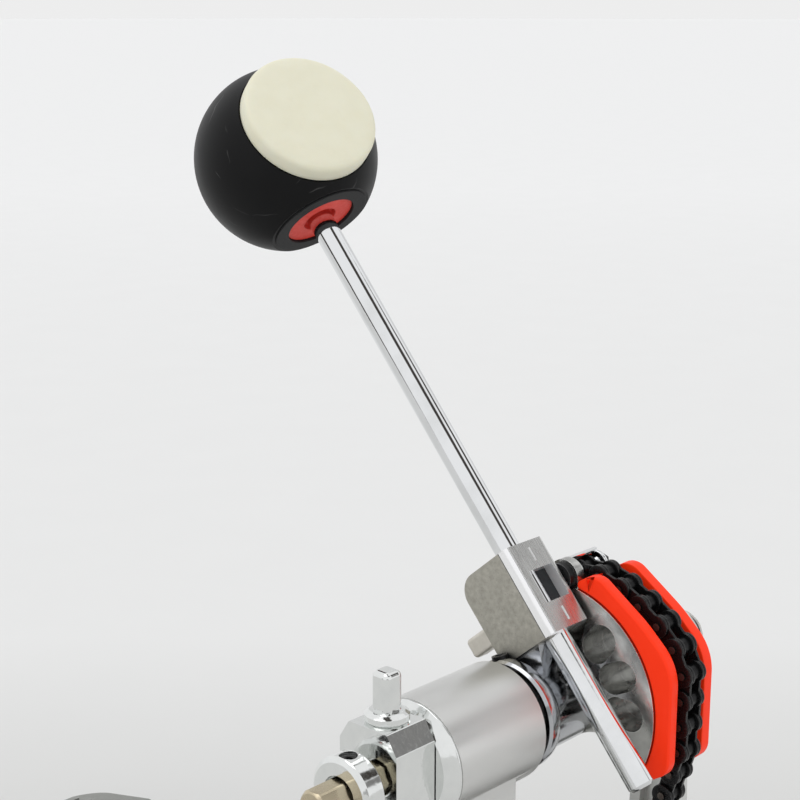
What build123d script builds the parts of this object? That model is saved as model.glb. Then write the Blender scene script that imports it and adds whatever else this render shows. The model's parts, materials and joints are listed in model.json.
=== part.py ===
from build123d import *
import os
from math import atan2, cos, degrees, hypot, radians, sin, sqrt

# Bass drum pedal with a chain-driven beater on a hexagonal shaft between two uprights.
# Millimetres. +X is the player's right, +Y points to the drum, +Z is up.
# The origin is on the floor, straight below the shaft axis in the plane of the beater.
# The turning parts are drawn upright about the shaft axis and then leaned back to the rest position.

# ---------------------------------------------------------------- driving dimensions
SHAFT_HEIGHT = 168.0
REST_LEAN = 40.4
CENTRE_X = -15.0
RUNNING_GAP = 0.05

SHAFT_ACROSS_FLATS = 9.2
SHAFT_RADIUS = 5.0
SHAFT_NEAR_END = 93.5
SHAFT_FAR_END = -83.0

HOUSING_RADIUS = 17.8
HOUSING_FAR_X = 18.1
HOUSING_NEAR_X = 54.0
NEAR_POST_X = (28.0, 54.0)
FAR_HOUSING_RADIUS = 12.0
FAR_HOUSING_X = (-71.0, -57.0)
FAR_POST_X = (-71.0, -59.0)

ROD_RADIUS = 4.0
ROD_OFFSET = 20.0
ROD_BOTTOM = -36.5
BALL_RADIUS = 29.35
BALL_HEIGHT = 186.5
PAD_RADIUS = 21.9
PAD_THICKNESS = 7.0
PAD_TWIST = 14.3

CHAIN_PITCH = 8.0
CHAIN_CENTRE_X = -21.25
CHAIN_PIN_RADIUS = 1.15
CHAIN_ROLLER_RADIUS = 2.5
CHAIN_PLATE_RADIUS = 3.4
CHAIN_PLATE_WAIST = 2.4
CHAIN_PLATE_THICKNESS = 0.9
OUTER_PLATES_X = (-3.45, 3.45)
INNER_PLATES_X = (-2.4, 2.4)
CHAIN_PIN_HALF = 4.3
CHAIN_ROLLER_HALF = 1.85
CHAIN_LEAN = 17.0
WHEEL_RADIUS = 35.0

ROCKER_X = 65.0
ROCKER_ARM = 22.0
ROCKER_BACK = 15.0
SPRING_LENGTH = 101.0
SPRING_MEAN_RADIUS = 8.0
SPRING_WIRE_RADIUS = 1.2
SPRING_COILS = 20

SOLE_THICKNESS = 2.5
PLATE_TOP = 6.5
HEEL_HINGE = (-240.0, 24.0)
TOE_PIN_ABOVE_BOARD = 17.0
JAW_PIVOT = (48.0, 24.0)
WING_BOLT_Y = 26.0
SPUR_Y = 38.2


# ---------------------------------------------------------------- helpers
def bar_x(radius, x_low, x_high, y=0.0, z=0.0):
    """A round bar along X."""
    return Pos((x_low + x_high) / 2, y, z) * Rot(0, 90, 0) * Cylinder(radius, x_high - x_low)


def bar_y(radius, y_low, y_high, x=0.0, z=0.0):
    """A round bar along Y."""
    return Pos(x, (y_low + y_high) / 2, z) * Rot(90, 0, 0) * Cylinder(radius, y_high - y_low)


def bar_z(radius, z_low, z_high, x=0.0, y=0.0):
    """A round bar along Z."""
    return Pos(x, y, (z_low + z_high) / 2) * Cylinder(radius, z_high - z_low)


def block(x_range, y_range, z_range):
    """A rectangular block between pairs of limits."""
    size = [high - low for low, high in (x_range, y_range, z_range)]
    centre = [(low + high) / 2 for low, high in (x_range, y_range, z_range)]
    return Pos(*centre) * Box(*size)


def outline(*corners):
    """A closed outline through (x, y, corner radius) points."""
    face = make_face(Polyline(*[(x, y) for x, y, _ in corners], close=True))
    for x, y, radius in corners:
        if radius:
            nearest = min(face.vertices(), key=lambda v: hypot(v.X - x, v.Y - y))
            face = fillet(nearest, radius)
    return face


def mirrored(*corners):
    """The given corners of the right half of an outline, followed by their mirror images."""
    return list(corners) + [(-x, y, radius) for x, y, radius in reversed(corners)]


def side_plate(face, x_low, x_high):
    """A face drawn in (Y, Z), extruded along X."""
    return extrude(Plane.YZ.offset(x_low) * face, x_high - x_low)


def flat_plate(face, z_low, z_high):
    """A face drawn in (X, Y), extruded upwards."""
    return extrude(Pos(0, 0, z_low) * face, z_high - z_low)


def turned(*profile):
    """A solid of revolution about Z from (radius, height) points."""
    face = make_face(Polyline(*[(radius, 0, height) for radius, height in profile], close=True))
    return revolve(face, Axis.Z)


def turned_x(*profile):
    """A solid of revolution about the X axis from (radius, x) points."""
    return Rot(0, 90, 0) * turned(*profile)


def hexagon_x(across_flats, x_low, x_high):
    """A hexagonal prism along X with flats above and below."""
    face = RegularPolygon(across_flats / 2, 6, major_radius=False)
    return side_plate(face, x_low, x_high)


def square_head(width, height, corner=1.4, dome=1.3):
    """A square drum-key head with rounded corners and a domed top, standing on Z = 0."""
    head = extrude(RectangleRounded(width, width, corner), height)
    return fillet(head.edges().group_by(Axis.Z)[-1], dome)


def leaned(shape):
    """Moves a shape drawn upright about the shaft axis to its rest position."""
    return Pos(0, 0, SHAFT_HEIGHT) * Rot(REST_LEAN, 0, 0) * shape


def group(shapes):
    """Separate solids kept together as one node."""
    return Compound([solid for shape in shapes for solid in shape.solids()])


def shaft_hole(x_low, x_high):
    """The bore that fits over the shaft."""
    return bar_x(SHAFT_RADIUS + RUNNING_GAP, x_low, x_high)


def rotated(point, angle):
    """A (Y, Z) point turned by an angle in degrees from +Y towards +Z."""
    turn = radians(angle)
    return (
        point[0] * cos(turn) - point[1] * sin(turn),
        point[0] * sin(turn) + point[1] * cos(turn),
    )


def stepped(point, angle, distance):
    """The point at a distance from another, in a direction in degrees from +Y towards +Z."""
    return (
        point[0] + distance * cos(radians(angle)),
        point[1] + distance * sin(radians(angle)),
    )


# ---------------------------------------------------------------- chain path
# Pin centres on the cam, upright about the shaft axis: a rounded top, a straight front run down to the
# corner of the cam, and a second straight run below it.
CORNER_PIN = (38.9, -14.8)
TOP_TURN = (75.6, 94.8, 105.9, 113.1, 122.5, 141.0)
LOWER_RUN_ANGLE = 227.9
MIDDLE_LINKS = 3
LOWER_LINKS = 6

cam_pins = [CORNER_PIN]
for link_angle in TOP_TURN:
    cam_pins.append(stepped(cam_pins[-1], link_angle, CHAIN_PITCH))
cam_pins.reverse()
ANCHOR_PIN = cam_pins[0]
middle_pins = [stepped(CORNER_PIN, LOWER_RUN_ANGLE, CHAIN_PITCH * i) for i in range(MIDDLE_LINKS + 1)]


def at_rest(point):
    """A (Y, Z) point drawn upright about the shaft axis, at rest in the pedal's frame."""
    y, z = rotated(point, REST_LEAN)
    return (y, z + SHAFT_HEIGHT)


HANG_START = at_rest(middle_pins[-1])
HANG_ANGLE = 270.0 - CHAIN_LEAN
lower_pins = [stepped(HANG_START, HANG_ANGLE, CHAIN_PITCH * i) for i in range(LOWER_LINKS + 1)]
TOE_PIN = stepped(HANG_START, HANG_ANGLE, CHAIN_PITCH * (LOWER_LINKS + 1))

# The footboard is drawn level, with its hinge at the origin, and then raised to meet the chain.
toe_reach = hypot(TOE_PIN[0] - HEEL_HINGE[0], TOE_PIN[1] - HEEL_HINGE[1])
TOE_ALONG = sqrt(toe_reach**2 - TOE_PIN_ABOVE_BOARD**2)
BOARD_ANGLE = degrees(
    atan2(TOE_PIN[1] - HEEL_HINGE[1], TOE_PIN[0] - HEEL_HINGE[0])
    - atan2(TOE_PIN_ABOVE_BOARD, TOE_ALONG)
)

# The rocker pin and the spring's lower pivot stand one above the other at rest.
ROCKER_PIN = (
    -ROCKER_ARM * sin(radians(ROCKER_BACK)),
    SHAFT_HEIGHT - ROCKER_ARM * cos(radians(ROCKER_BACK)),
)
SPRING_FOOT = (ROCKER_PIN[0], ROCKER_PIN[1] - SPRING_LENGTH)


# ---------------------------------------------------------------- base
def base_outline(inset):
    """Plan of the base plate: heel, waist, wide front and the tongue under the drum hoop."""
    face = outline(
        *mirrored(
            (38, -306, 22),
            (38, -222, 10),
            (29, -196, 24),
            (29, -76, 24),
            (72, -36, 12),
            (72, 47, 8),
            (27, 50, 5),
            (27, 90, 8),
        )
    )
    return Pos(CENTRE_X, 0, 0) * (offset(face, -inset) if inset else face)


def waist_slots():
    """Three long lightening slots along the waist."""
    return [Pos(CENTRE_X, y, 0) * Rot(0, 0, 90) * SlotOverall(38, 24) for y in (-182, -134, -86)]


UPRIGHT_SCREWS = [(x, y) for x in (41.0, -66.0) for y in (-21.0, 21.0)]
HEEL_SCREWS = [(CENTRE_X + dx, -274.0) for dx in (-23.0, 23.0)]
SPURS = [CENTRE_X - 62.0, CENTRE_X + 62.0]
SCREW_RADIUS = 2.5


def base_plate():
    plate = flat_plate(base_outline(0), SOLE_THICKNESS, PLATE_TOP)
    for slot in waist_slots():
        plate -= flat_plate(slot, SOLE_THICKNESS, PLATE_TOP)
    for x, y in UPRIGHT_SCREWS + HEEL_SCREWS:
        plate -= bar_z(SCREW_RADIUS + RUNNING_GAP, 0, PLATE_TOP, x, y)
        plate -= Pos(x, y, SOLE_THICKNESS + 1.0) * Cone(5.1, SCREW_RADIUS + 0.1, 2.0)
    for x in SPURS:
        plate += bar_z(8.0, PLATE_TOP, PLATE_TOP + 6.0, x, SPUR_Y)
        plate -= bar_z(3.0 + RUNNING_GAP, 0, PLATE_TOP + 6.0, x, SPUR_Y)
    pivot_y, pivot_z = JAW_PIVOT
    lug = outline(
        (pivot_y - 9, PLATE_TOP, 0),
        (pivot_y - 5, 31, 5),
        (pivot_y + 5, 31, 5),
        (pivot_y + 8, PLATE_TOP, 0),
    )
    for side in (-1, 1):
        x = CENTRE_X + side * 19.5
        plate += side_plate(lug, x - 2.5, x + 2.5)
    plate -= bar_x(3.0, CENTRE_X - 25, CENTRE_X + 25, pivot_y, pivot_z)
    return plate


def base_sole():
    sole = flat_plate(base_outline(1.5), 0, SOLE_THICKNESS)
    for slot in waist_slots():
        sole -= flat_plate(slot, 0, SOLE_THICKNESS)
    for x, y in UPRIGHT_SCREWS + HEEL_SCREWS:
        sole -= bar_z(6.0, 0, SOLE_THICKNESS, x, y)
    for x in SPURS:
        sole -= bar_z(5.0, 0, SOLE_THICKNESS, x, SPUR_Y)
    return sole


def countersunk_screw(x, y, length):
    """A screw driven up from below the base plate."""
    head = Pos(x, y, SOLE_THICKNESS + 1.0) * Cone(5.0, SCREW_RADIUS, 2.0)
    shank = bar_z(SCREW_RADIUS, SOLE_THICKNESS + 1.0, SOLE_THICKNESS + length, x, y)
    socket = bar_z(1.6, 0, SOLE_THICKNESS + 2.0, x, y)
    return head + shank - socket


def base_screws():
    """The screws that hold the uprights and the heel plate on the base."""
    screws = [countersunk_screw(x, y, 13.0) for x, y in UPRIGHT_SCREWS]
    screws += [countersunk_screw(x, y, 11.0) for x, y in HEEL_SCREWS]
    return group(screws)


# ---------------------------------------------------------------- uprights and bearings
NEAR_BEARINGS_X = ((45.5, 53.5), (18.6, 26.6))
FAR_BEARING_X = (-70.5, -65.5)


def near_upright():
    face = outline(*mirrored((22, PLATE_TOP, 0), (15, 70, 60), (15, SHAFT_HEIGHT, 0)))
    post = side_plate(face, *NEAR_POST_X)
    pocket_top = SHAFT_HEIGHT - 33
    pocket = outline(*mirrored((14, 26, 4), (9, 72, 30), (9, pocket_top, 6)))
    for x in (NEAR_POST_X[0], NEAR_POST_X[1] - 9.0):
        post -= side_plate(pocket, x, x + 9.0)
    foot = Pos(41, 0, PLATE_TOP) * extrude(RectangleRounded(30, 58, 6), 8.0)
    ear_y = SPRING_FOOT[0]
    ear = Pos(61, ear_y, 22) * extrude(RectangleRounded(28, 20, 9), 9.0)
    housing = bar_x(HOUSING_RADIUS, HOUSING_FAR_X, HOUSING_NEAR_X, z=SHAFT_HEIGHT)
    upright = post + foot + ear + housing
    for x_low, x_high in NEAR_BEARINGS_X:
        upright -= bar_x(13.0, x_low, x_high, z=SHAFT_HEIGHT)
    upright -= bar_x(11.0, HOUSING_FAR_X - 1, HOUSING_NEAR_X + 1, z=SHAFT_HEIGHT)
    upright -= bar_x(13.0, 53.5, 55.0, z=SHAFT_HEIGHT)
    upright -= bar_x(13.0, 18.0, 18.6, z=SHAFT_HEIGHT)
    upright -= bar_z(4.0, 20, 34, ROCKER_X, ear_y)
    for x, y in UPRIGHT_SCREWS[:2]:
        upright -= bar_z(SCREW_RADIUS, PLATE_TOP, 17, x, y)
    return upright


def far_upright():
    middle = sum(FAR_POST_X) / 2
    face = outline(
        (-20, PLATE_TOP, 0),
        (-7, 80, 60),
        (-4, SHAFT_HEIGHT, 0),
        (7, SHAFT_HEIGHT, 0),
        (10, 80, 60),
        (20, PLATE_TOP, 0),
    )
    post = side_plate(face, *FAR_POST_X)
    pocket_top = SHAFT_HEIGHT - 29
    pocket = outline(
        (-10, 24, 4),
        (-3, 80, 20),
        (-1, pocket_top, 2),
        (4, pocket_top, 2),
        (6, 80, 20),
        (10, 24, 4),
    )
    post -= side_plate(pocket, FAR_POST_X[0], FAR_POST_X[0] + 3.0)
    post -= side_plate(pocket, FAR_POST_X[1] - 3.0, FAR_POST_X[1])
    foot = Pos(middle - 1, 0, PLATE_TOP) * extrude(RectangleRounded(22, 58, 6), 8.0)
    housing = bar_x(FAR_HOUSING_RADIUS, *FAR_HOUSING_X, z=SHAFT_HEIGHT)
    upright = post + foot + housing
    upright -= bar_x(9.5, FAR_HOUSING_X[0], FAR_BEARING_X[1], z=SHAFT_HEIGHT)
    upright -= bar_x(7.5, FAR_HOUSING_X[0], FAR_HOUSING_X[1], z=SHAFT_HEIGHT)
    for x, y in UPRIGHT_SCREWS[2:]:
        upright -= bar_z(SCREW_RADIUS, PLATE_TOP, 17, x, y)
    return upright


def bearing_cap():
    """Polished ring pressed into the near end of the housing."""
    ring = turned_x(
        (9.0, 53.6),
        (12.9, 53.6),
        (12.9, 54.0),
        (17.6, 54.0),
        (17.6, 54.6),
        (13.6, 57.2),
        (9.0, 57.2),
    )
    return Pos(0, 0, SHAFT_HEIGHT) * ring


class Bearing:
    """Sizes of a shielded ball bearing between two X limits."""

    def __init__(self, x_low, x_high, outer, outer_inside, inner_outside, ball, count):
        self.x_low, self.x_high = x_low, x_high
        self.outer, self.outer_inside = outer, outer_inside
        self.inner_outside, self.ball, self.count = inner_outside, ball, count
        self.middle = (x_low + x_high) / 2
        self.track = (outer_inside + inner_outside) / 2

    def groove(self):
        return Pos(self.middle, 0, 0) * Rot(0, 90, 0) * Torus(self.track, self.ball + RUNNING_GAP)

    def outer_ring(self):
        low, high, inside = self.x_low, self.x_high, self.outer_inside
        ring = bar_x(self.outer, low, high) - bar_x(inside, low, high)
        shield = bar_x(inside, low, high) - bar_x(self.inner_outside + 0.3, low, high)
        shield -= bar_x(inside, low + 0.9, high - 0.9)
        shield -= bar_x(inside, low, low + 0.4) + bar_x(inside, high - 0.4, high)
        return Pos(0, 0, SHAFT_HEIGHT) * (ring + shield - self.groove())

    def inner_ring(self):
        ring = bar_x(self.inner_outside, self.x_low, self.x_high)
        ring -= shaft_hole(self.x_low, self.x_high)
        return Pos(0, 0, SHAFT_HEIGHT) * (ring - self.groove())

    def balls(self):
        centres = [rotated((self.track, 0), 360 * i / self.count) for i in range(self.count)]
        return [Pos(self.middle, y, z + SHAFT_HEIGHT) * Sphere(self.ball) for y, z in centres]


BEARINGS = [Bearing(low, high, 13.0, 10.2, 7.2, 2.1, 9) for low, high in NEAR_BEARINGS_X]
BEARINGS.append(Bearing(*FAR_BEARING_X, 9.5, 8.2, 6.4, 1.2, 11))


def bearing_outer_rings():
    return group(bearing.outer_ring() for bearing in BEARINGS)


def bearing_inner_rings():
    return group(bearing.inner_ring() for bearing in BEARINGS)


def bearing_balls():
    return group(ball for bearing in BEARINGS for ball in bearing.balls())


# ---------------------------------------------------------------- shaft
def hex_shaft():
    """Hexagonal bar whose corners are turned down so that the bearings slide over it."""
    bar = hexagon_x(SHAFT_ACROSS_FLATS, SHAFT_FAR_END, SHAFT_NEAR_END)
    envelope = turned_x(
        (0, SHAFT_FAR_END),
        (SHAFT_RADIUS - 1, SHAFT_FAR_END),
        (SHAFT_RADIUS, SHAFT_FAR_END + 1),
        (SHAFT_RADIUS, SHAFT_NEAR_END - 0.8),
        (SHAFT_RADIUS - 0.8, SHAFT_NEAR_END),
        (0, SHAFT_NEAR_END),
    )
    clip_groove = bar_x(6, -78.2, -76.9) - bar_x(4.0, -78.2, -76.9)
    return Pos(0, 0, SHAFT_HEIGHT) * ((bar & envelope) - clip_groove)


def shaft_spacers():
    """Sleeves that hold the turning parts apart along the shaft."""
    sleeves = (
        (-76.7, -71.2, 6.2),
        (-56.6, -32.3, 8.0),
        (14.2, 18.4, 7.0),
        (26.8, 45.3, 6.8),
        (53.7, 57.4, 7.4),
    )
    rings = [bar_x(radius, low, high) - shaft_hole(low, high) for low, high, radius in sleeves]
    rings[2] += bar_x(12.0, 14.2, 17.6) - shaft_hole(14.2, 17.6)
    return group(Pos(0, 0, SHAFT_HEIGHT) * ring for ring in rings)


def shaft_clip():
    """Spring clip in the groove at the far end."""
    ring = bar_x(8.0, -78.0, -77.0) - bar_x(4.05, -78.0, -77.0)
    ring -= block((-78, -77), (-2.6, 2.6), (-9, 0))
    return Pos(0, 0, SHAFT_HEIGHT) * ring


END_COLLAR_X = (76.0, 83.6)


def end_collar():
    low, high = END_COLLAR_X
    ring = turned_x(
        (5.6, low),
        (9.6, low),
        (10.6, low + 1),
        (10.6, high - 1.2),
        (9.2, high),
        (5.6, high),
    )
    ring -= bar_z(2.5, 3, 13, (low + high) / 2)
    return Pos(0, 0, SHAFT_HEIGHT) * ring


# ---------------------------------------------------------------- beater hub
CLAMP_SEAM = 23.6
CLAMP_FRONT = 27.2
CLAMP_HALF_WIDTH = 8.55
CLAMP_T = (13.1, 41.1)
BARREL_RADIUS = 14.2
KEY_BOLT_T = 23.6
HUB_SCREW_ANGLE = 68.0


def beater_hub():
    """Cast hub: a flanged barrel on the shaft with the rod block above it."""
    low, high = CLAMP_T
    side = outline((CLAMP_SEAM, high, 0), (3.2, high, 6.5), (3.6, low, 0), (CLAMP_SEAM, low, 0))
    block_part = side_plate(side, -CLAMP_HALF_WIDTH, CLAMP_HALF_WIDTH)
    barrel = turned_x(
        (0, -CLAMP_HALF_WIDTH),
        (BARREL_RADIUS, -CLAMP_HALF_WIDTH),
        (BARREL_RADIUS, 6.8),
        (15.0, 8.0),
        (16.2, 9.4),
        (16.65, 11.4),
        (16.65, 13.2),
        (15.9, 14.0),
        (0, 14.0),
    )
    neck_face = outline((0, 0, 0), (BARREL_RADIUS, 4, 0), (19, low + 1, 0), (3.6, low + 1, 0))
    hub = block_part + barrel + side_plate(neck_face, -8.0, 7.0)
    hub -= bar_z(ROD_RADIUS + RUNNING_GAP, 0, high + 5, 0, ROD_OFFSET)
    hub -= shaft_hole(-9, 15)
    hub -= bar_y(2.75, 2, ROD_OFFSET, 0, KEY_BOLT_T)
    screw_axis = Rot(HUB_SCREW_ANGLE - 90, 0, 0)
    hub -= screw_axis * bar_z(2.4, SHAFT_RADIUS, 18, 11.2)
    return leaned(hub)


def rod_clamp_plate():
    """Chromed front of the rod block, with a window over the rod and two centre marks."""
    low, high = CLAMP_T
    plate = block((-CLAMP_HALF_WIDTH, CLAMP_HALF_WIDTH), (CLAMP_SEAM + 0.02, CLAMP_FRONT), (low, high))
    long_edges = plate.edges().filter_by(Axis.Z).sort_by(Axis.Y)[-2:]
    plate = fillet(long_edges, 1.6)
    plate -= block((-6.2, 4.4), (22, 29), (21.9, 32.3))
    plate -= bar_z(ROD_RADIUS + RUNNING_GAP, low - 5, high + 5, 0, ROD_OFFSET)
    for centre in (17.2, 36.8):
        plate += block((-1.5, -0.5), (CLAMP_FRONT - 0.2, CLAMP_FRONT + 0.4), (centre - 2.2, centre + 2.2))
    return leaned(plate)


def beater_bolt():
    """Square-headed bolt that clamps the rod from behind."""
    shank_end = ROD_OFFSET - ROD_RADIUS - RUNNING_GAP
    shank = bar_y(2.7, 2.0, shank_end, 0, KEY_BOLT_T)
    flange = bar_y(4.4, 1.6, 3.15, 0, KEY_BOLT_T)
    head = Pos(0, 1.6, KEY_BOLT_T) * Rot(90, 0, 0) * square_head(6.3, 12.8)
    return leaned(shank + flange + head)


def set_screws():
    """Socket set screws: one in the hub's flange, one in the end collar."""
    hub_screw = bar_z(2.35, SHAFT_RADIUS + 0.2, 17.6, 11.2) - bar_z(1.25, 15.2, 18, 11.2)
    hub_screw = leaned(Rot(HUB_SCREW_ANGLE - 90, 0, 0) * hub_screw)
    middle = sum(END_COLLAR_X) / 2
    collar_screw = bar_z(2.45, SHAFT_ACROSS_FLATS / 2 + RUNNING_GAP, 9.4, middle)
    collar_screw -= bar_z(1.25, 7.2, 10, middle)
    return group([hub_screw, Pos(0, 0, SHAFT_HEIGHT) * collar_screw])


# ---------------------------------------------------------------- cam
RAIL_OUTLINE = (
    (23.0, 24.6, 0),
    (35.6, 23.0, 6),
    (40.9, 3.0, 40),
    (42.7, -12.0, 16),
    (21.5, -36.8, 6),
    (9.6, -35.2, 0),
    (0, 0, 0),
)
NEAR_RAIL_X = (-14.5, -10.5)
FAR_RAIL_X = (-32.0, -28.0)
FAR_WEB_RADIUS = 30.0
ANCHOR_EAR_RADIUS = 5.2
ANCHOR_EAR_NEAR_X = -11.2
ANCHOR_HEAD_RADIUS = 4.4
ANCHOR_SCREW_RADIUS = CHAIN_PIN_RADIUS


def web_face():
    """Side of the cam's web: a round rim closed by chords back to the hub."""
    rim_low = stepped((0, 0), -67.0, WHEEL_RADIUS)
    rim_middle = stepped((0, 0), -7.0, WHEEL_RADIUS)
    rim_high = stepped((0, 0), 52.0, WHEEL_RADIUS)
    return make_face(
        [
            ThreePointArc(rim_low, rim_middle, rim_high),
            Line(rim_high, (-6.0, 12.8)),
            Line((-6.0, 12.8), (-2.0, -14.0)),
            ThreePointArc((-2.0, -14.0), (7.2, -17.2), (11.0, -22.0)),
            Line((11.0, -22.0), rim_low),
        ]
    )


def anchor_ear(radius):
    """Side of the lug that carries the chain's anchor screw at the top corner of the web."""
    circles = Pos(*ANCHOR_PIN) * Circle(radius) + Pos(21, 23) * Circle(radius)
    return make_hull(circles.edges())


def cam_wheel():
    """Polished casting: a hub, a pocketed web with a round rim, and the drum under the chain."""
    near_face, web_back = -10.0, NEAR_RAIL_X[0]
    wheel = bar_x(BARREL_RADIUS, FAR_RAIL_X[0] - 0.2, -CLAMP_HALF_WIDTH - RUNNING_GAP)
    wheel += side_plate(web_face(), web_back, near_face)
    drum = outline(
        (17, 24, 0),
        (27, 19, 4),
        (37, -8, 3),
        (34.6, -13, 3),
        (17, -29, 2),
        (11, -27, 0),
        (0, 0, 0),
    )
    wheel += side_plate(drum, FAR_RAIL_X[1], web_back)
    wheel += side_plate(web_face() & Circle(FAR_WEB_RADIUS), *FAR_RAIL_X)
    wheel += side_plate(anchor_ear(ANCHOR_EAR_RADIUS), web_back, ANCHOR_EAR_NEAR_X)
    wheel -= bar_x(ANCHOR_HEAD_RADIUS + 0.3, ANCHOR_EAR_NEAR_X, near_face, *ANCHOR_PIN)
    for angle in (38, 12, -14, -40):
        pocket = Rot(0, 0, angle) * Pos(24.5, 0) * SlotOverall(13.5, 9.5)
        wheel -= side_plate(pocket, -20.0, -9.0)
    wheel -= bar_x(ANCHOR_SCREW_RADIUS, -15, -9, *ANCHOR_PIN)
    wheel -= shaft_hole(-33, -7)
    return leaned(wheel)


def cam_rail(x_low, x_high, inner_radius):
    """One plastic rail: the outline of the cam outside its round web, clear of the anchor lug."""
    face = outline(*RAIL_OUTLINE) - Circle(inner_radius + RUNNING_GAP) - anchor_ear(ANCHOR_EAR_RADIUS + 0.1)
    return leaned(side_plate(face, x_low, x_high))


def near_cam_rail():
    return cam_rail(*NEAR_RAIL_X, WHEEL_RADIUS)


def far_cam_rail():
    return cam_rail(*FAR_RAIL_X, FAR_WEB_RADIUS)


def chain_anchor_screw():
    """Screw through the chain's first link: a socket head on the near side, a nut on the far side."""
    head = bar_x(ANCHOR_HEAD_RADIUS, ANCHOR_EAR_NEAR_X + 0.05, -8.7) - bar_x(2.4, -9.9, -8.7)
    shank = bar_x(ANCHOR_SCREW_RADIUS, -31.5, ANCHOR_EAR_NEAR_X + 0.1)
    nut = hexagon_x(5.0, -30.6, -28.1)
    return leaned(Pos(0, *ANCHOR_PIN) * (head + shank + nut))


def chain_bracket():
    """Bright strap bent over the outside of the chain's first link, with bosses that centre the link."""
    low, high = FAR_RAIL_X[1] + RUNNING_GAP, NEAR_RAIL_X[0] - RUNNING_GAP
    band = Circle(5.1) - Circle(3.8)
    chain_side = Rot(0, 0, TOP_TURN[-1] - 180) * Pos(4.0, 0) * Rectangle(8, 14)
    strap = side_plate(band - chain_side, low, high)
    for x_low, x_high in ((low, low + 1.3), (high - 1.3, high)):
        strap += bar_x(4.3, x_low, x_high)
    link_half = OUTER_PLATES_X[1] - CHAIN_PLATE_THICKNESS / 2
    for x_low, x_high in ((low, CHAIN_CENTRE_X - link_half), (CHAIN_CENTRE_X + link_half, high)):
        strap += bar_x(2.4, x_low, x_high)
    return leaned(Pos(0, *ANCHOR_PIN) * (strap - bar_x(ANCHOR_SCREW_RADIUS, low, high)))


# ---------------------------------------------------------------- chain
def link_plate(start, end, x_middle):
    """One figure-of-eight plate between two pin centres."""
    angle = degrees(atan2(end[1] - start[1], end[0] - start[0]))
    middle = ((start[0] + end[0]) / 2, (start[1] + end[1]) / 2)
    face = Pos(*start) * Circle(CHAIN_PLATE_RADIUS) + Pos(*end) * Circle(CHAIN_PLATE_RADIUS)
    face += Pos(*middle) * Rot(0, 0, angle) * Rectangle(CHAIN_PITCH, 2 * CHAIN_PLATE_WAIST)
    for centre in (start, end):
        face -= Pos(*centre) * Circle(CHAIN_PIN_RADIUS + RUNNING_GAP)
    half = CHAIN_PLATE_THICKNESS / 2
    return side_plate(face, x_middle - half, x_middle + half)


def chain_plates(pins, outer_first):
    """The plates of a run of links, outer and inner in turn."""
    plates = []
    for index, (start, end) in enumerate(zip(pins, pins[1:])):
        is_outer = (index % 2 == 0) == outer_first
        for x in OUTER_PLATES_X if is_outer else INNER_PLATES_X:
            plates.append(link_plate(start, end, CHAIN_CENTRE_X + x))
    return plates


def chain_pin(centre):
    return bar_x(CHAIN_PIN_RADIUS, CHAIN_CENTRE_X - CHAIN_PIN_HALF, CHAIN_CENTRE_X + CHAIN_PIN_HALF, *centre)


def chain_roller(centre):
    low, high = CHAIN_CENTRE_X - CHAIN_ROLLER_HALF, CHAIN_CENTRE_X + CHAIN_ROLLER_HALF
    bore = bar_x(CHAIN_PIN_RADIUS + RUNNING_GAP, low, high, *centre)
    return bar_x(CHAIN_ROLLER_RADIUS, low, high, *centre) - bore


def cam_chain_plates():
    return group(leaned(plate) for plate in chain_plates(cam_pins, False))


def cam_chain_pins():
    pins = [chain_pin(centre) for centre in cam_pins[1:]]
    rollers = [chain_roller(centre) for centre in cam_pins[:-1]]
    return group(leaned(piece) for piece in pins + rollers)


def middle_chain_plates():
    return group(leaned(plate) for plate in chain_plates(middle_pins, False))


def middle_chain_pins():
    pins = [chain_pin(centre) for centre in middle_pins[1:-1]]
    rollers = [chain_roller(centre) for centre in middle_pins]
    return group(leaned(piece) for piece in pins + rollers)


def lower_chain_plates():
    return group(chain_plates(lower_pins, True))


def lower_chain_pins():
    pins = [chain_pin(centre) for centre in lower_pins]
    rollers = [chain_roller(centre) for centre in lower_pins[1:]]
    return group(pins + rollers)


def chain_end_plate():
    """Fork on the last link whose slot lets the clevis pin wander as the pedal moves."""
    start = lower_pins[-1]
    slope = HANG_ANGLE - 270.0
    slot_place = Pos(*TOE_PIN) * Rot(0, 0, slope)
    body = slot_place * RectangleRounded(18, 12, 5)
    face = body + Pos(*stepped(start, HANG_ANGLE, 1.8)) * Rot(0, 0, slope) * RectangleRounded(7.6, 11, 3.5)
    face -= slot_place * SlotOverall(11.0, 6.6)
    face -= Pos(*start) * Circle(CHAIN_PIN_RADIUS + RUNNING_GAP)
    half = OUTER_PLATES_X[1] + CHAIN_PLATE_THICKNESS / 2
    low, high = CHAIN_CENTRE_X - half, CHAIN_CENTRE_X + half
    gap = (low + CHAIN_PLATE_THICKNESS, high - CHAIN_PLATE_THICKNESS)
    link_room = Pos(0, *start) * Rot(slope, 0, 0) * block(gap, (-6, 6), (-4.2, 9))
    return side_plate(face, low, high) - link_room


# ---------------------------------------------------------------- beater
def beater_rod():
    top = BALL_HEIGHT + 14
    rod = turned(
        (0, ROD_BOTTOM),
        (ROD_RADIUS - 1, ROD_BOTTOM),
        (ROD_RADIUS, ROD_BOTTOM + 1),
        (ROD_RADIUS, top),
        (0, top),
    )
    rod -= bar_z(2.0, top - 10, top)
    return leaned(Pos(0, ROD_OFFSET, 0) * rod)


BALL_FLAT = 162.6
CORE_RADIUS = 11.5
RING_RADIUS = 16.8


def on_ball(shape):
    """Moves a shape drawn about the ball's centre to its place on the rod."""
    return leaned(Pos(0, ROD_OFFSET, BALL_HEIGHT) * Rot(0, 0, -PAD_TWIST) * shape)


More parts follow.
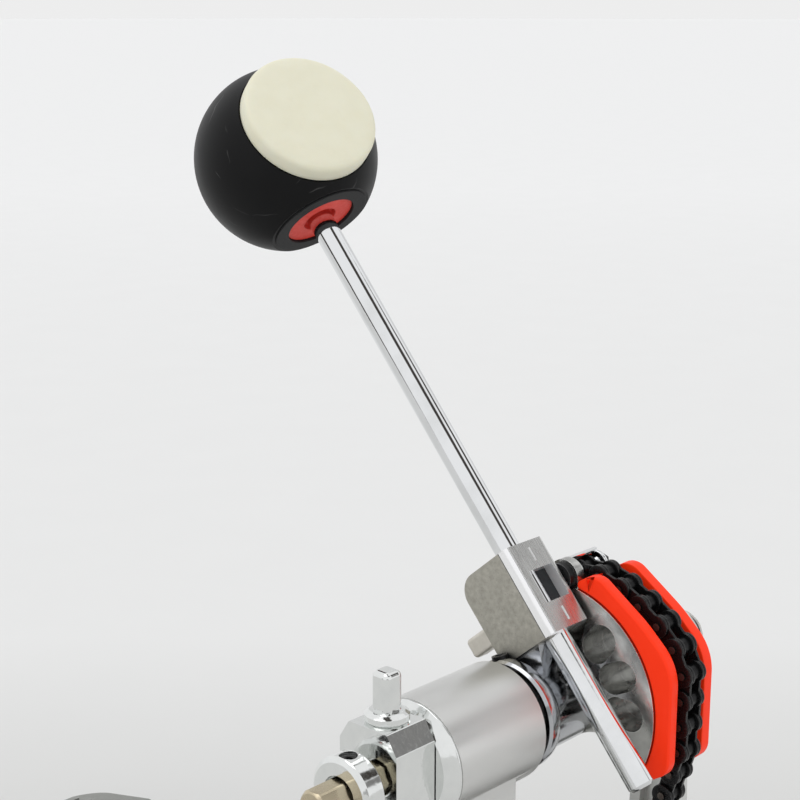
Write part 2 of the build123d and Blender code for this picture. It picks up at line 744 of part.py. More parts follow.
PAD_SEAT = sqrt(BALL_RADIUS**2 - PAD_RADIUS**2)
FLAT_DROP = BALL_FLAT - BALL_HEIGHT


def beater_ball():
    ball = Sphere(BALL_RADIUS)
    ball -= bar_z(BALL_RADIUS, FLAT_DROP - 20, FLAT_DROP)
    ball -= bar_y(BALL_RADIUS, PAD_SEAT, PAD_SEAT + 20)
    ball -= bar_z(RING_RADIUS - 0.8, FLAT_DROP, FLAT_DROP + 1.0)
    ball -= bar_z(CORE_RADIUS, FLAT_DROP, FLAT_DROP + 3.5)
    ball -= bar_z(ROD_RADIUS + RUNNING_GAP, FLAT_DROP, BALL_RADIUS)
    ball -= bar_z(5.5, 16.6, BALL_RADIUS)
    return on_ball(ball)


def beater_pad():
    """Cream striking disc with a rounded edge and a slight crown."""
    disc = turned(
        (0, 0.02),
        (PAD_RADIUS, 0.02),
        (PAD_RADIUS, PAD_THICKNESS - 1.0),
        (PAD_RADIUS - 2.0, PAD_THICKNESS),
        (0, PAD_THICKNESS),
    )
    rim = disc.edges().filter_by(GeomType.CIRCLE).sort_by(Axis.Z)[1:]
    disc = fillet(rim, 0.9)
    return on_ball(Pos(0, PAD_SEAT, 0) * Rot(-90, 0, 0) * disc)


def beater_end_ring():
    ring = bar_z(RING_RADIUS - 0.85, FLAT_DROP - 0.5, FLAT_DROP + 0.95)
    return on_ball(ring - bar_z(CORE_RADIUS - 0.05, FLAT_DROP - 1, FLAT_DROP + 1))


def beater_core():
    disc = bar_z(CORE_RADIUS - 0.1, FLAT_DROP + 0.4, FLAT_DROP + 3.45)
    disc -= bar_z(5.5, FLAT_DROP, FLAT_DROP + 2.2)
    return on_ball(disc - bar_z(ROD_RADIUS + RUNNING_GAP, FLAT_DROP, FLAT_DROP + 4))


def beater_top_screw():
    """Screw down through the top of the ball into the end of the rod."""
    head = bar_z(5.4, 16.7, 20.2) - bar_z(2.0, 18.0, 21.0)
    return on_ball(head + bar_z(1.9, 6.0, 16.7))


# ---------------------------------------------------------------- spring rocker and spring
def at_rocker(shape):
    """Moves a shape drawn about the shaft, arm straight down, to the rocker's place."""
    return Pos(ROCKER_X, 0, SHAFT_HEIGHT) * Rot(-ROCKER_BACK, 0, 0) * shape


def spring_rocker():
    """Block on the shaft with a chamfered top for its bolt, and a forked arm for the spring."""
    face = outline(*mirrored((10.5, -11.5, 3), (10.5, 10.2, 0.8), (7.0, 15.7, 0.8)))
    collar = Pos(ROCKER_X, 0, SHAFT_HEIGHT) * side_plate(face, -7.5, 7.5)
    arm_face = make_hull((Circle(10.4) + Pos(0, -ROCKER_ARM) * Circle(6.8)).edges())
    rocker = collar + at_rocker(side_plate(arm_face, -5.0, 5.0))
    rocker -= at_rocker(block((-2.6, 2.6), (-20, 20), (-40, -12.6)))
    rocker -= at_rocker(bar_x(2.5 + RUNNING_GAP, -9, 9, 0, -ROCKER_ARM))
    rocker -= at_rocker(shaft_hole(-9, 9))
    return rocker - bar_z(3.6, SHAFT_HEIGHT + 3, SHAFT_HEIGHT + 20, ROCKER_X)


def rocker_bolt():
    """Square-headed bolt standing upright in the rocker."""
    base = SHAFT_HEIGHT + SHAFT_ACROSS_FLATS / 2 + RUNNING_GAP
    seat = SHAFT_HEIGHT + 15.7
    shank = bar_z(3.5, base, seat + 0.3, ROCKER_X)
    flange = turned((0, 0), (5.6, 0), (6.3, 0.7), (6.3, 2.2), (4.6, 3.2), (0, 3.2))
    head = Pos(ROCKER_X, 0, seat + 3.0) * square_head(6.6, 11.4, 2.0, 1.9)
    return shank + Pos(ROCKER_X, 0, seat) * flange + head


def rocker_pin():
    pin = bar_x(2.5, ROCKER_X - 6.2, ROCKER_X + 6.2, *ROCKER_PIN)
    for side in (-1, 1):
        x = ROCKER_X + side * 5.8
        pin += bar_x(3.6, x - 0.7, x + 0.7, *ROCKER_PIN)
    return pin


PLUG_RADIUS = 6.6
COIL_LOW = 55.0
COIL_HIGH = 132.0


def upper_spring_link():
    """Ring on the rocker pin above a plug that the top coils grip."""
    y, z = ROCKER_PIN
    ring = bar_x(7.5, ROCKER_X - 2.2, ROCKER_X + 2.2, y, z)
    neck = bar_z(2.1, COIL_HIGH, z - 5.5, ROCKER_X, y)
    plug = turned((0, -8), (5.8, -8), (PLUG_RADIUS, -7), (PLUG_RADIUS, 0), (5.0, 2), (0, 2))
    link = ring + neck + Pos(ROCKER_X, y, COIL_HIGH) * plug
    return link - bar_x(4.6, ROCKER_X - 3, ROCKER_X + 3, y, z)


def lower_spring_link():
    """Eye on the foot pin below a plug that the bottom coils grip."""
    y, z = SPRING_FOOT
    eye = bar_x(4.8, ROCKER_X - 3.0, ROCKER_X + 3.0, y, z)
    neck = bar_z(2.6, z + 3, COIL_LOW, ROCKER_X, y)
    plug = turned((0, -2), (5.0, -2), (PLUG_RADIUS, 0), (PLUG_RADIUS, 7), (5.8, 8), (0, 8))
    link = eye + neck + Pos(ROCKER_X, y, COIL_LOW) * plug
    return link - bar_x(2.0 + RUNNING_GAP, ROCKER_X - 4, ROCKER_X + 4, y, z)


def return_spring():
    height = COIL_HIGH - COIL_LOW
    path = Helix(height / SPRING_COILS, height, SPRING_MEAN_RADIUS)
    start = Plane(origin=path @ 0, z_dir=path % 0)
    coil = sweep(start * Circle(SPRING_WIRE_RADIUS), path=path, is_frenet=True)
    return Pos(ROCKER_X, SPRING_FOOT[0], COIL_LOW) * coil


STUD_BOTTOM = 9.0


def spring_stud():
    """Threaded stud through the upright's ear, with a fork for the spring's lower link."""
    y, z = SPRING_FOOT
    stud = bar_z(3.95, STUD_BOTTOM, 39, ROCKER_X, y)
    fork = Pos(ROCKER_X, y, 37.5) * extrude(RectangleRounded(11.5, 9.5, 1.5), 13.0)
    fork -= block((ROCKER_X - 3.1, ROCKER_X + 3.1), (y - 6, y + 6), (z - 5.2, z + 8))
    return stud + fork - bar_x(2.0, ROCKER_X - 8, ROCKER_X + 8, y, z)


def spring_foot_pin():
    y, z = SPRING_FOOT
    return bar_x(2.0, ROCKER_X - 6.4, ROCKER_X + 6.4, y, z)


def stud_nut():
    """Hexagonal lock nut above the ear."""
    nut = Pos(ROCKER_X, SPRING_FOOT[0], 31.05) * extrude(RegularPolygon(6.5, 6, major_radius=False), 5.5)
    return nut - bar_z(3.98, 30, 38, ROCKER_X, SPRING_FOOT[0])


def tension_nut():
    """Knurled nut below the ear that sets the spring's tension."""
    profile = ((0, 0), (8.2, 0), (9.0, 0.8), (9.0, 7.5), (8.2, 8.3), (5.5, 10.4), (0, 10.4))
    nut = Pos(0, 0, 11.5) * turned(*profile)
    for index in range(18):
        y, z = rotated((9.2, 0), index * 20)
        nut -= bar_z(0.7, 11, 20, y, z)
    nut -= bar_z(3.95 + RUNNING_GAP, 10, 24)
    return Pos(ROCKER_X, SPRING_FOOT[0], 0) * nut


# ---------------------------------------------------------------- footboard and heel
def on_board(shape):
    """Moves a shape drawn level about the heel hinge onto the raised footboard."""
    return Pos(CENTRE_X, HEEL_HINGE[0], HEEL_HINGE[1]) * Rot(BOARD_ANGLE, 0, 0) * shape


BOARD_TOP = 5.0
BOARD_BOTTOM = 1.0
BOARD_END = TOE_ALONG + 13.0
CLEVIS_X = CHAIN_CENTRE_X - CENTRE_X
CLEVIS_PIN_RADIUS = 2.5
TOE_SCREWS = [(CLEVIS_X, TOE_ALONG - 16.0), (CLEVIS_X, TOE_ALONG - 30.0)]


def board_outline(inset=0.0):
    face = outline(
        *mirrored(
            (38, 9, 4),
            (46, 60, 60),
            (46, 190, 80),
            (37, 236, 40),
            (35, BOARD_END, 14),
        )
    )
    return offset(face, -inset) if inset else face


def footboard():
    """Long cast board with a stiffening skirt, a grip field of slots and bars, and a hinge knuckle."""
    board = flat_plate(board_outline(), BOARD_BOTTOM, BOARD_TOP)
    skirt = flat_plate(board_outline(), BOARD_BOTTOM - 7, BOARD_BOTTOM) - flat_plate(
        board_outline(3.2), BOARD_BOTTOM - 7, BOARD_BOTTOM
    )
    skirt -= block((-50, 50), (-5, 24), (-12, BOARD_BOTTOM))
    skirt -= block((-50, 50), (BOARD_END - 60, BOARD_END + 5), (-12, BOARD_BOTTOM))
    board += skirt
    for along in range(46, 200, 22):
        for side in (-1, 1):
            slot = Pos(side * 21, along + 11) * SlotOverall(28, 6)
            board -= flat_plate(slot, -8, BOARD_TOP + 2)
            bar = Pos(side * 21, along) * SlotOverall(32, 4)
            board += flat_plate(bar, BOARD_TOP - 0.5, BOARD_TOP + 1.2)
    spine = Pos(0, 122) * SlotOverall(184, 6, rotation=90)
    board += flat_plate(spine, BOARD_TOP - 0.5, BOARD_TOP + 1.6)
    knuckle = bar_x(6.0, -25, 25) + block((-25, 25), (0, 12), (0.5, BOARD_TOP))
    board += knuckle
    board -= bar_x(3.0 + RUNNING_GAP, -30, 30)
    for x, y in TOE_SCREWS:
        board -= bar_z(2.0, -2, 8, x, y)
    return on_board(board)


def toe_clevis():
    """Fork screwed to the toe of the footboard, holding the pin in the chain's end plate."""
    base = Pos(CLEVIS_X, TOE_ALONG - 12, BOARD_TOP) * extrude(RectangleRounded(18, 50, 5), 2.5)
    ear_top = TOE_PIN_ABOVE_BOARD + 5.5
    ear = outline(
        (TOE_ALONG - 11, BOARD_TOP, 0),
        (TOE_ALONG - 5.5, ear_top, 5),
        (TOE_ALONG + 5.5, ear_top, 5),
        (TOE_ALONG + 11, BOARD_TOP, 0),
    )
    clevis = base
    for x in (CLEVIS_X - 7.0, CLEVIS_X + 4.4):
        clevis += side_plate(ear, x, x + 2.6)
    clevis -= bar_x(CLEVIS_PIN_RADIUS, CLEVIS_X - 10, CLEVIS_X + 10, TOE_ALONG, TOE_PIN_ABOVE_BOARD)
    for x, y in TOE_SCREWS:
        clevis -= bar_z(2.3, 4, 9, x, y)
    return on_board(clevis)


def clevis_pin():
    pin = bar_x(CLEVIS_PIN_RADIUS, CLEVIS_X - 8.4, CLEVIS_X + 7.8, TOE_ALONG, TOE_PIN_ABOVE_BOARD)
    pin += bar_x(3.8, CLEVIS_X + 7.05, CLEVIS_X + 8.6, TOE_ALONG, TOE_PIN_ABOVE_BOARD)
    return on_board(pin)


def clevis_screws():
    screws = []
    for x, y in TOE_SCREWS:
        screw = bar_z(2.0, BOARD_BOTTOM, 9, x, y) + bar_z(3.8, BOARD_TOP + 2.5, BOARD_TOP + 4.7, x, y)
        screws.append(screw - bar_z(1.25, BOARD_TOP + 3.2, BOARD_TOP + 5, x, y))
    return group(on_board(screw) for screw in screws)


HEEL_LUG_X = (26.0, 36.5)
HEEL_HALF_WIDTH = 37.5
HEEL_END = -305.0
HEEL_TOP = (-256.0, 29.0)
HEEL_END_TOP = 17.0
HEEL_WALL = 5.0


def heel_plate():
    """Cast heel rest behind the footboard, with the two outer knuckles of the hinge."""
    y, z = HEEL_HINGE
    top_y, top_z = HEEL_TOP
    side = outline(
        (HEEL_END, PLATE_TOP, 0),
        (HEEL_END, HEEL_END_TOP, 5),
        (top_y, top_z, 4),
        (y - 9, z, 3),
        (y - 9, PLATE_TOP, 0),
    )
    body = side_plate(side, CENTRE_X - HEEL_HALF_WIDTH, CENTRE_X + HEEL_HALF_WIDTH)
    plan = outline(*mirrored((HEEL_HALF_WIDTH, HEEL_END, 20), (HEEL_HALF_WIDTH, -230, 0)))
    body &= flat_plate(Pos(CENTRE_X, 0, 0) * plan, 0, 40)
    hollow = outline(
        (HEEL_END + HEEL_WALL, PLATE_TOP, 0),
        (HEEL_END + HEEL_WALL, HEEL_END_TOP - 4, 0),
        (top_y - 1, top_z - 5, 0),
        (top_y + 2, PLATE_TOP, 0),
    )
    hollow_half = HEEL_HALF_WIDTH - HEEL_WALL
    hollow_plan = outline(*mirrored((hollow_half, HEEL_END + HEEL_WALL, 15), (hollow_half, -230, 0)))
    room = side_plate(hollow, CENTRE_X - hollow_half, CENTRE_X + hollow_half)
    body -= room & flat_plate(Pos(CENTRE_X, 0, 0) * hollow_plan, 0, 40)
    slope = (top_z - HEEL_END_TOP) / (top_y - HEEL_END)
    for index in range(4):
        along = HEEL_END + 10 + index * 9.5
        height = HEEL_END_TOP + (along - HEEL_END) * slope
        body += Pos(CENTRE_X, along, height) * Rot(degrees(atan2(slope, 1)), 0, 0) * Box(52, 3.2, 2.4)
    for side in (-1, 1):
        low, high = sorted(CENTRE_X + side * x for x in HEEL_LUG_X)
        lug = outline(
            (y - 12, PLATE_TOP, 0),
            (y - 12, z + 3, 0),
            (y, z + 6, 0),
            (y + 6, z, 0),
            (y + 7, PLATE_TOP, 0),
        )
        body += side_plate(lug, low, high) + bar_x(6.5, low, high, y, z)
        body += block((low, high), (-256, y - 8), (PLATE_TOP, 24))
    body -= bar_x(3.0, CENTRE_X - 45, CENTRE_X + 45, y, z)
    for x, screw_y in HEEL_SCREWS:
        post = bar_z(5.5, PLATE_TOP, 20, x, screw_y)
        body += post - bar_z(SCREW_RADIUS, PLATE_TOP, 16, x, screw_y)
    return body


def heel_pin():
    return bar_x(3.0, CENTRE_X - 36, CENTRE_X + 36, *HEEL_HINGE)


# ---------------------------------------------------------------- hoop clamp
def lower_hoop_pad():
    """Rubber on the base plate's tongue, under the drum hoop."""
    pad = Pos(CENTRE_X, 75, PLATE_TOP) * extrude(RectangleRounded(46, 24, 4), 3.0)
    for index in range(4):
        groove = (66.5 + index * 5, 68.0 + index * 5)
        pad -= block((CENTRE_X - 24, CENTRE_X + 24), groove, (PLATE_TOP + 2, PLATE_TOP + 4))
    return pad


def jaw_pivot_pin():
    pin = bar_x(3.0, CENTRE_X - 23.5, CENTRE_X + 23.5, *JAW_PIVOT)
    for side in (-1, 1):
        x = CENTRE_X + side * 23.2
        pin += bar_x(4.5, x - 1.0, x + 1.0, *JAW_PIVOT)
    return pin


def clamp_jaw():
    """Lever that presses down on the hoop when its rear end is lifted."""
    y, z = JAW_PIVOT
    side = outline(
        (16, 26, 4),
        (16, 34.5, 4),
        (38, 35.5, 10),
        (56, 33, 12),
        (86, 36.5, 3),
        (87, 29, 3),
        (66, 28.2, 4),
        (52, 18.5, 5),
        (42, 18.5, 5),
        (36, 26, 6),
    )
    jaw = side_plate(side, CENTRE_X - 15.5, CENTRE_X + 15.5)
    for direction in (-1, 1):
        trim = outline((direction * 15.5, 10, 0), (direction * 15.5, 50, 0), (direction * 10, 10, 0))
        jaw -= flat_plate(Pos(CENTRE_X, 0, 0) * trim, 10, 60)
    jaw -= bar_x(3.0 + RUNNING_GAP, CENTRE_X - 17, CENTRE_X + 17, y, z)
    jaw -= bar_z(4.0 + RUNNING_GAP, 10, 60, CENTRE_X, WING_BOLT_Y)
    return jaw


def jaw_pad():
    """Rubber under the jaw's nose."""
    face = outline((68, 25.2, 1), (68, 28.25, 0), (86, 28.95, 0), (86, 25.9, 1))
    return side_plate(face, CENTRE_X - 14, CENTRE_X + 14)


FOOT_BALL = 4.5


def clamp_foot():
    """Swivel foot on the tip of the wing bolt, standing on the base plate."""
    centre = PLATE_TOP + 0.05 + FOOT_BALL
    foot = Sphere(FOOT_BALL) - bar_z(FOOT_BALL + 1, 0, FOOT_BALL + 1)
    foot += bar_z(FOOT_BALL, 0, 3.0)
    foot -= bar_z(2.5 + RUNNING_GAP, -1.5, 4)
    return Pos(CENTRE_X, WING_BOLT_Y, centre) * foot


def wing_bolt():
    """Threaded bolt through the rear of the jaw, turned by two wings."""
    tip = PLATE_TOP + 0.05 + FOOT_BALL - 1.3
    bolt = bar_z(2.5, tip, 16.5) + bar_z(4.0, 14.2, 42)
    hub = turned((0, 40.2), (6.5, 40.2), (6.5, 45.0), (5.0, 47.0), (0, 47.0))
    wings = make_face(
        [
            Line((0, 41), (8, 41.2)),
            Spline((8, 41.2), (15, 42.6), (19.5, 46.0)),
            ThreePointArc((19.5, 46.0), (18.6, 49.4), (15.4, 49.2)),
            Spline((15.4, 49.2), (10, 46.6), (0, 46.2)),
            Line((0, 46.2), (0, 41)),
        ]
    )
    wing = extrude(Plane.XZ.offset(-1.8) * wings, 3.6)
    both = wing + Rot(0, 0, 180) * wing
    return Pos(CENTRE_X, WING_BOLT_Y, 0) * (bolt + hub + both)


# ---------------------------------------------------------------- spurs
def spur(x):
    """Pointed anchor screw with a knurled head."""
    screw = turned(
        (0, 1.0),
        (3.0, 6.0),
        (3.0, 20.0),
        (7.5, 20.0),
        (8.0, 20.6),
        (8.0, 27.4),
        (7.0, 28.4),
        (0, 28.4),
    )
    for index in range(16):
        y, z = rotated((8.2, 0), index * 22.5)
        screw -= bar_z(0.6, 19, 30, y, z)
    return Pos(x, SPUR_Y, 0) * screw


# ---------------------------------------------------------------- the nodes
NODES = {
    "base_plate": base_plate(),
    "base_sole": base_sole(),
    "base_screws": base_screws(),
    "near_upright": near_upright(),
    "far_upright": far_upright(),
    "bearing_cap": bearing_cap(),
    "bearing_outer_rings": bearing_outer_rings(),
    "bearing_inner_rings": bearing_inner_rings(),
    "bearing_balls": bearing_balls(),
    "hex_shaft": hex_shaft(),
    "shaft_spacers": shaft_spacers(),
    "shaft_clip": shaft_clip(),
    "end_collar": end_collar(),
    "beater_hub": beater_hub(),
    "rod_clamp_plate": rod_clamp_plate(),
    "beater_bolt": beater_bolt(),
    "set_screws": set_screws(),
    "cam_wheel": cam_wheel(),
    "near_cam_rail": near_cam_rail(),
    "far_cam_rail": far_cam_rail(),
    "chain_anchor_screw": chain_anchor_screw(),
    "chain_bracket": chain_bracket(),
    "cam_chain_plates": cam_chain_plates(),
    "cam_chain_pins": cam_chain_pins(),
    "middle_chain_plates": middle_chain_plates(),
    "middle_chain_pins": middle_chain_pins(),
    "lower_chain_plates": lower_chain_plates(),
    "lower_chain_pins": lower_chain_pins(),
    "chain_end_plate": chain_end_plate(),
    "beater_rod": beater_rod(),
    "beater_ball": beater_ball(),
    "beater_pad": beater_pad(),
    "beater_end_ring": beater_end_ring(),
    "beater_core": beater_core(),
    "beater_top_screw": beater_top_screw(),
    "spring_rocker": spring_rocker(),
    "rocker_bolt": rocker_bolt(),
    "rocker_pin": rocker_pin(),
    "upper_spring_link": upper_spring_link(),
    "lower_spring_link": lower_spring_link(),
    "return_spring": return_spring(),
    "spring_stud": spring_stud(),
    "spring_foot_pin": spring_foot_pin(),
    "stud_nut": stud_nut(),
    "tension_nut": tension_nut(),
    "footboard": footboard(),
    "toe_clevis": toe_clevis(),
    "clevis_pin": clevis_pin(),
    "clevis_screws": clevis_screws(),
    "heel_plate": heel_plate(),
    "heel_pin": heel_pin(),
    "lower_hoop_pad": lower_hoop_pad(),
    "jaw_pivot_pin": jaw_pivot_pin(),
    "clamp_jaw": clamp_jaw(),
    "jaw_pad": jaw_pad(),
    "clamp_foot": clamp_foot(),
    "wing_bolt": wing_bolt(),
    "far_spur": spur(SPURS[0]),
    "near_spur": spur(SPURS[1]),
}

os.makedirs("parts", exist_ok=True)
for name, shape in NODES.items():
    export_step(shape, f"parts/{name}.step")
print(len(NODES), "nodes;", "toe pin", TOE_PIN, "board angle", round(BOARD_ANGLE, 3))
print("corner", at_rest(CORNER_PIN), "hang", HANG_START, "rocker", ROCKER_PIN, "foot", SPRING_FOOT)
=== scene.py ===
import json
import math

import bmesh
import bpy
from mathutils import Matrix, Vector, noise

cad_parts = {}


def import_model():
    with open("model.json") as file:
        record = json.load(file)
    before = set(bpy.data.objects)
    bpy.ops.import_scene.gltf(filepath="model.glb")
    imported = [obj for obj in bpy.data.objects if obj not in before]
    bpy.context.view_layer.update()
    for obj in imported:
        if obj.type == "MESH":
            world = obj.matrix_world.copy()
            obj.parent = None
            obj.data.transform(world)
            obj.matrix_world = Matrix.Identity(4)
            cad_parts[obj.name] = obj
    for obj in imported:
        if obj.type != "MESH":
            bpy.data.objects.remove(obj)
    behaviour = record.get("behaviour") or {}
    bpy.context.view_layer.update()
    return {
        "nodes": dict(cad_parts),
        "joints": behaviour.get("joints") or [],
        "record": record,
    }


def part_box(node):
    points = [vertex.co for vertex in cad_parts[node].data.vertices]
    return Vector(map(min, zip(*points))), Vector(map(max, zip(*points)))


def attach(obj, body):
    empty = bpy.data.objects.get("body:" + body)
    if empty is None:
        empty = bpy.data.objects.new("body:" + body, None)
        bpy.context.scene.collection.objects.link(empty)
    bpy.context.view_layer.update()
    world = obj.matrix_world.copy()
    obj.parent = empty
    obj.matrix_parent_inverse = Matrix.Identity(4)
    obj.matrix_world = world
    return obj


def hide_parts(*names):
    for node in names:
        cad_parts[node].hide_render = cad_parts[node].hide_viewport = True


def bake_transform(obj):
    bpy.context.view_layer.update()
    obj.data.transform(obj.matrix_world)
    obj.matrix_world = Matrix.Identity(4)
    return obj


# Looks for a bass drum pedal: surface finishes, softened edges, a striking disc, a wound spring,
# cut threads, a pale studio and the camera. Metres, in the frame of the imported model.

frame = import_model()
nodes = frame["nodes"]
MM = 0.001


def joint(name):
    """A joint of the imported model, by its name."""
    return next(j for j in frame["joints"] if j["name"] == name)


# ---------------------------------------------------------------- places taken from the frame
SHAFT = Vector(joint("beater_swing")["pos_m"])
ROD_DIRECTION = Vector(joint("rod_height")["axis"]).normalized()
ROD_NORMAL = ROD_DIRECTION.cross(Vector((1, 0, 0)))
SPRING_FOOT = Vector(joint("spring_sway")["pos_m"])
# Millimetres from the shaft's axis, along the rod and in front of it.
HUB_BLOCK_START = 12.3
HUB_FRONT = 23.3
BALL_HEIGHT = 186.5
ROD_OFFSET = 20.0


# ---------------------------------------------------------------- shader helpers
class NodeTree:
    """Short calls that add nodes to a tree and return what they put out."""

    def __init__(self, owner):
        owner.use_nodes = True
        self.nodes = owner.node_tree.nodes
        self.links = owner.node_tree.links

    def feed(self, socket, value):
        """Gives a socket a number, a colour or another node's output."""
        if isinstance(value, bpy.types.NodeSocket):
            self.links.new(value, socket)
        elif hasattr(value, "__len__") and len(value) == 3 and len(socket.default_value) == 4:
            socket.default_value = (*value, 1.0)
        else:
            socket.default_value = value

    def node(self, kind, output=0, inputs=None, **properties):
        made = self.nodes.new("ShaderNode" + kind)
        for name, value in properties.items():
            setattr(made, name, value)
        for name, value in (inputs or {}).items():
            self.feed(made.inputs[name], value)
        return made.outputs[output]

    def dot(self, first, second):
        inputs = {0: first, 1: second}
        return self.node("VectorMath", output="Value", operation="DOT_PRODUCT", inputs=inputs)

    def range(self, value, low, high, to_low=0.0, to_high=1.0, **properties):
        inputs = {"Value": value, "From Min": low, "From Max": high, "To Min": to_low, "To Max": to_high}
        return self.node("MapRange", inputs=inputs, **properties)

    def mix(self, factor, first, second):
        """A colour between two others."""
        made = self.nodes.new("ShaderNodeMix")
        made.data_type = "RGBA"
        self.feed(made.inputs[0], factor)
        self.feed(made.inputs[6], first)
        self.feed(made.inputs[7], second)
        return made.outputs[2]

    def math(self, operation, first, second=0.0):
        return self.node("Math", operation=operation, inputs={0: first, 1: second})

    def blend(self, factor, first, second):
        """A number between two others."""
        return self.node("Mix", inputs={0: factor, 2: first, 3: second})


class Shader(NodeTree):
    """A principled material and short calls for its patterns and relief."""

    def __init__(self, name):
        self.material = bpy.data.materials.new(name)
        super().__init__(self.material)
        self.surface = self.nodes["Principled BSDF"]
        self.place = self.nodes.new("ShaderNodeTexCoord").outputs["Object"]

    def set(self, **values):
        """Feeds the surface's inputs, whose names are written with _ for each space."""
        for name, value in values.items():
            self.feed(self.surface.inputs[name.replace("_", " ")], value)

    def stretched(self, stretch):
        """The object's coordinates, scaled along each axis."""
        return self.node("Mapping", inputs={"Vector": self.place, "Scale": stretch})

    def distance_along(self, start, direction):
        """How far a surface point lies from a start, measured along a direction."""
        away = self.node("VectorMath", operation="SUBTRACT", inputs={0: self.place, 1: start})
        return self.dot(away, direction)

    def noise(self, grain, detail=3.0, stretch=(1, 1, 1)):
        """Noise whose blotches are about a grain, in millimetres, across."""
        place = self.stretched(stretch)
        scale = 1.0 / (grain * MM)
        return self.node("TexNoise", inputs={"Vector": place, "Scale": scale, "Detail": detail})

    def cells(self, grain):
        """Pebbles about a grain, in millimetres, across."""
        scale = 1.0 / (grain * MM)
        return self.node("TexVoronoi", inputs={"Vector": self.place, "Scale": scale})

    def normal(self):
        return self.node("NewGeometry", output="Normal")

    def occlusion(self, reach):
        """1 in the open, towards 0 in hollows within a reach in millimetres."""
        return self.node("AmbientOcclusion", output="AO", samples=6, inputs={"Distance": reach * MM})

    def bump(self, height, depth, strength=1.0, normal=None):
        """Relief of a depth in millimetres."""
        inputs = {"Height": height, "Distance": depth * MM, "Strength": strength}
        if normal is not None:
            inputs["Normal"] = normal
        return self.node("Bump", inputs=inputs)

    def edges(self, width):
        """1 on rounded-over edges, 0 on open faces."""
        soft = self.node("Bevel", samples=4, inputs={"Radius": width * MM})
        return self.range(self.dot(soft, self.normal()), 0.99, 0.86)


# ---------------------------------------------------------------- materials: metals
def chrome():
    """Mirror chrome with faint smudges."""
    shader = Shader("chrome")
    smudge = shader.range(shader.noise(9, 5), 0.45, 0.75)
    shader.set(
        Base_Color=shader.mix(smudge, (0.83, 0.84, 0.85), (0.75, 0.76, 0.765)),
        Metallic=1.0,
        Roughness=shader.range(smudge, 0, 1, 0.03, 0.09),
        Normal=shader.bump(shader.noise(2.8, 2), 0.035, 0.5),
    )
    return shader.material


def plated_casting():
    """Bright plate over slightly uneven small parts: the rocker and what stands beside it."""
    shader = Shader("plated_casting")
    cloud = shader.noise(4, 4)
    flow = shader.noise(3.4, 2)
    scratch = shader.noise(0.7, 4, (1, 1, 0.15))
    shader.set(
        Base_Color=shader.mix(cloud, (0.87, 0.88, 0.865), (0.74, 0.755, 0.75)),
        Metallic=1.0,
        Roughness=shader.range(scratch, 0.35, 0.7, 0.04, 0.16),
        Normal=shader.bump(flow, 0.12, 0.6, shader.bump(scratch, 0.004, 0.5)),
    )
    return shader.material


def polished_steel():
    """Buffed front plate with fine buffing lines, a slightly uneven face and bright bevels."""
    shader = Shader("polished_steel")
    bevel = shader.range(shader.dot(shader.normal(), ROD_NORMAL), 0.97, 0.9)
    lines = shader.noise(0.5, 3, (1, 0.06, 0.06))
    wave = shader.noise(6, 2)
    face = shader.mix(wave, (0.66, 0.66, 0.645), (0.56, 0.56, 0.55))
    shader.set(
        Base_Color=shader.mix(bevel, face, (0.97, 0.97, 0.98)),
        Metallic=shader.blend(bevel, 0.9, 0.6),
        Roughness=shader.blend(bevel, shader.range(lines, 0.3, 0.7, 0.22, 0.34), 0.16),
        Normal=shader.bump(wave, 0.04, 0.5, shader.bump(lines, 0.004, 0.6)),
    )
    return shader.material


def satin_aluminium():
    """Bead-blasted and clear-coated aluminium of the uprights."""
    shader = Shader("satin_aluminium")
    grit = shader.noise(0.25, 2)
    cloud = shader.noise(14, 4, (0.35, 1, 1))
    shader.set(
        Base_Color=shader.mix(cloud, (0.76, 0.76, 0.745), (0.64, 0.64, 0.63)),
        Metallic=0.92,
        Roughness=shader.range(cloud, 0.3, 0.7, 0.3, 0.42),
        Normal=shader.bump(grit, 0.012, 0.55),
    )
    return shader.material


def board_aluminium():
    """Satin cast footboard, scuffed along its raised edges."""
    shader = Shader("board_aluminium")
    grit = shader.noise(0.35, 3)
    cloud = shader.noise(22, 4)
    brushed = shader.noise(0.6, 3, (1, 0.04, 1))
    wear = shader.edges(0.7)
    body = shader.mix(cloud, (0.29, 0.295, 0.275), (0.22, 0.225, 0.205))
    shader.set(
        Base_Color=shader.mix(wear, body, (0.66, 0.66, 0.65)),
        Metallic=0.85,
        Roughness=shader.blend(wear, shader.range(brushed, 0.3, 0.7, 0.3, 0.42), 0.24),
        Normal=shader.bump(brushed, 0.01, 0.5, shader.bump(grit, 0.015, 0.5)),
    )
    return shader.material


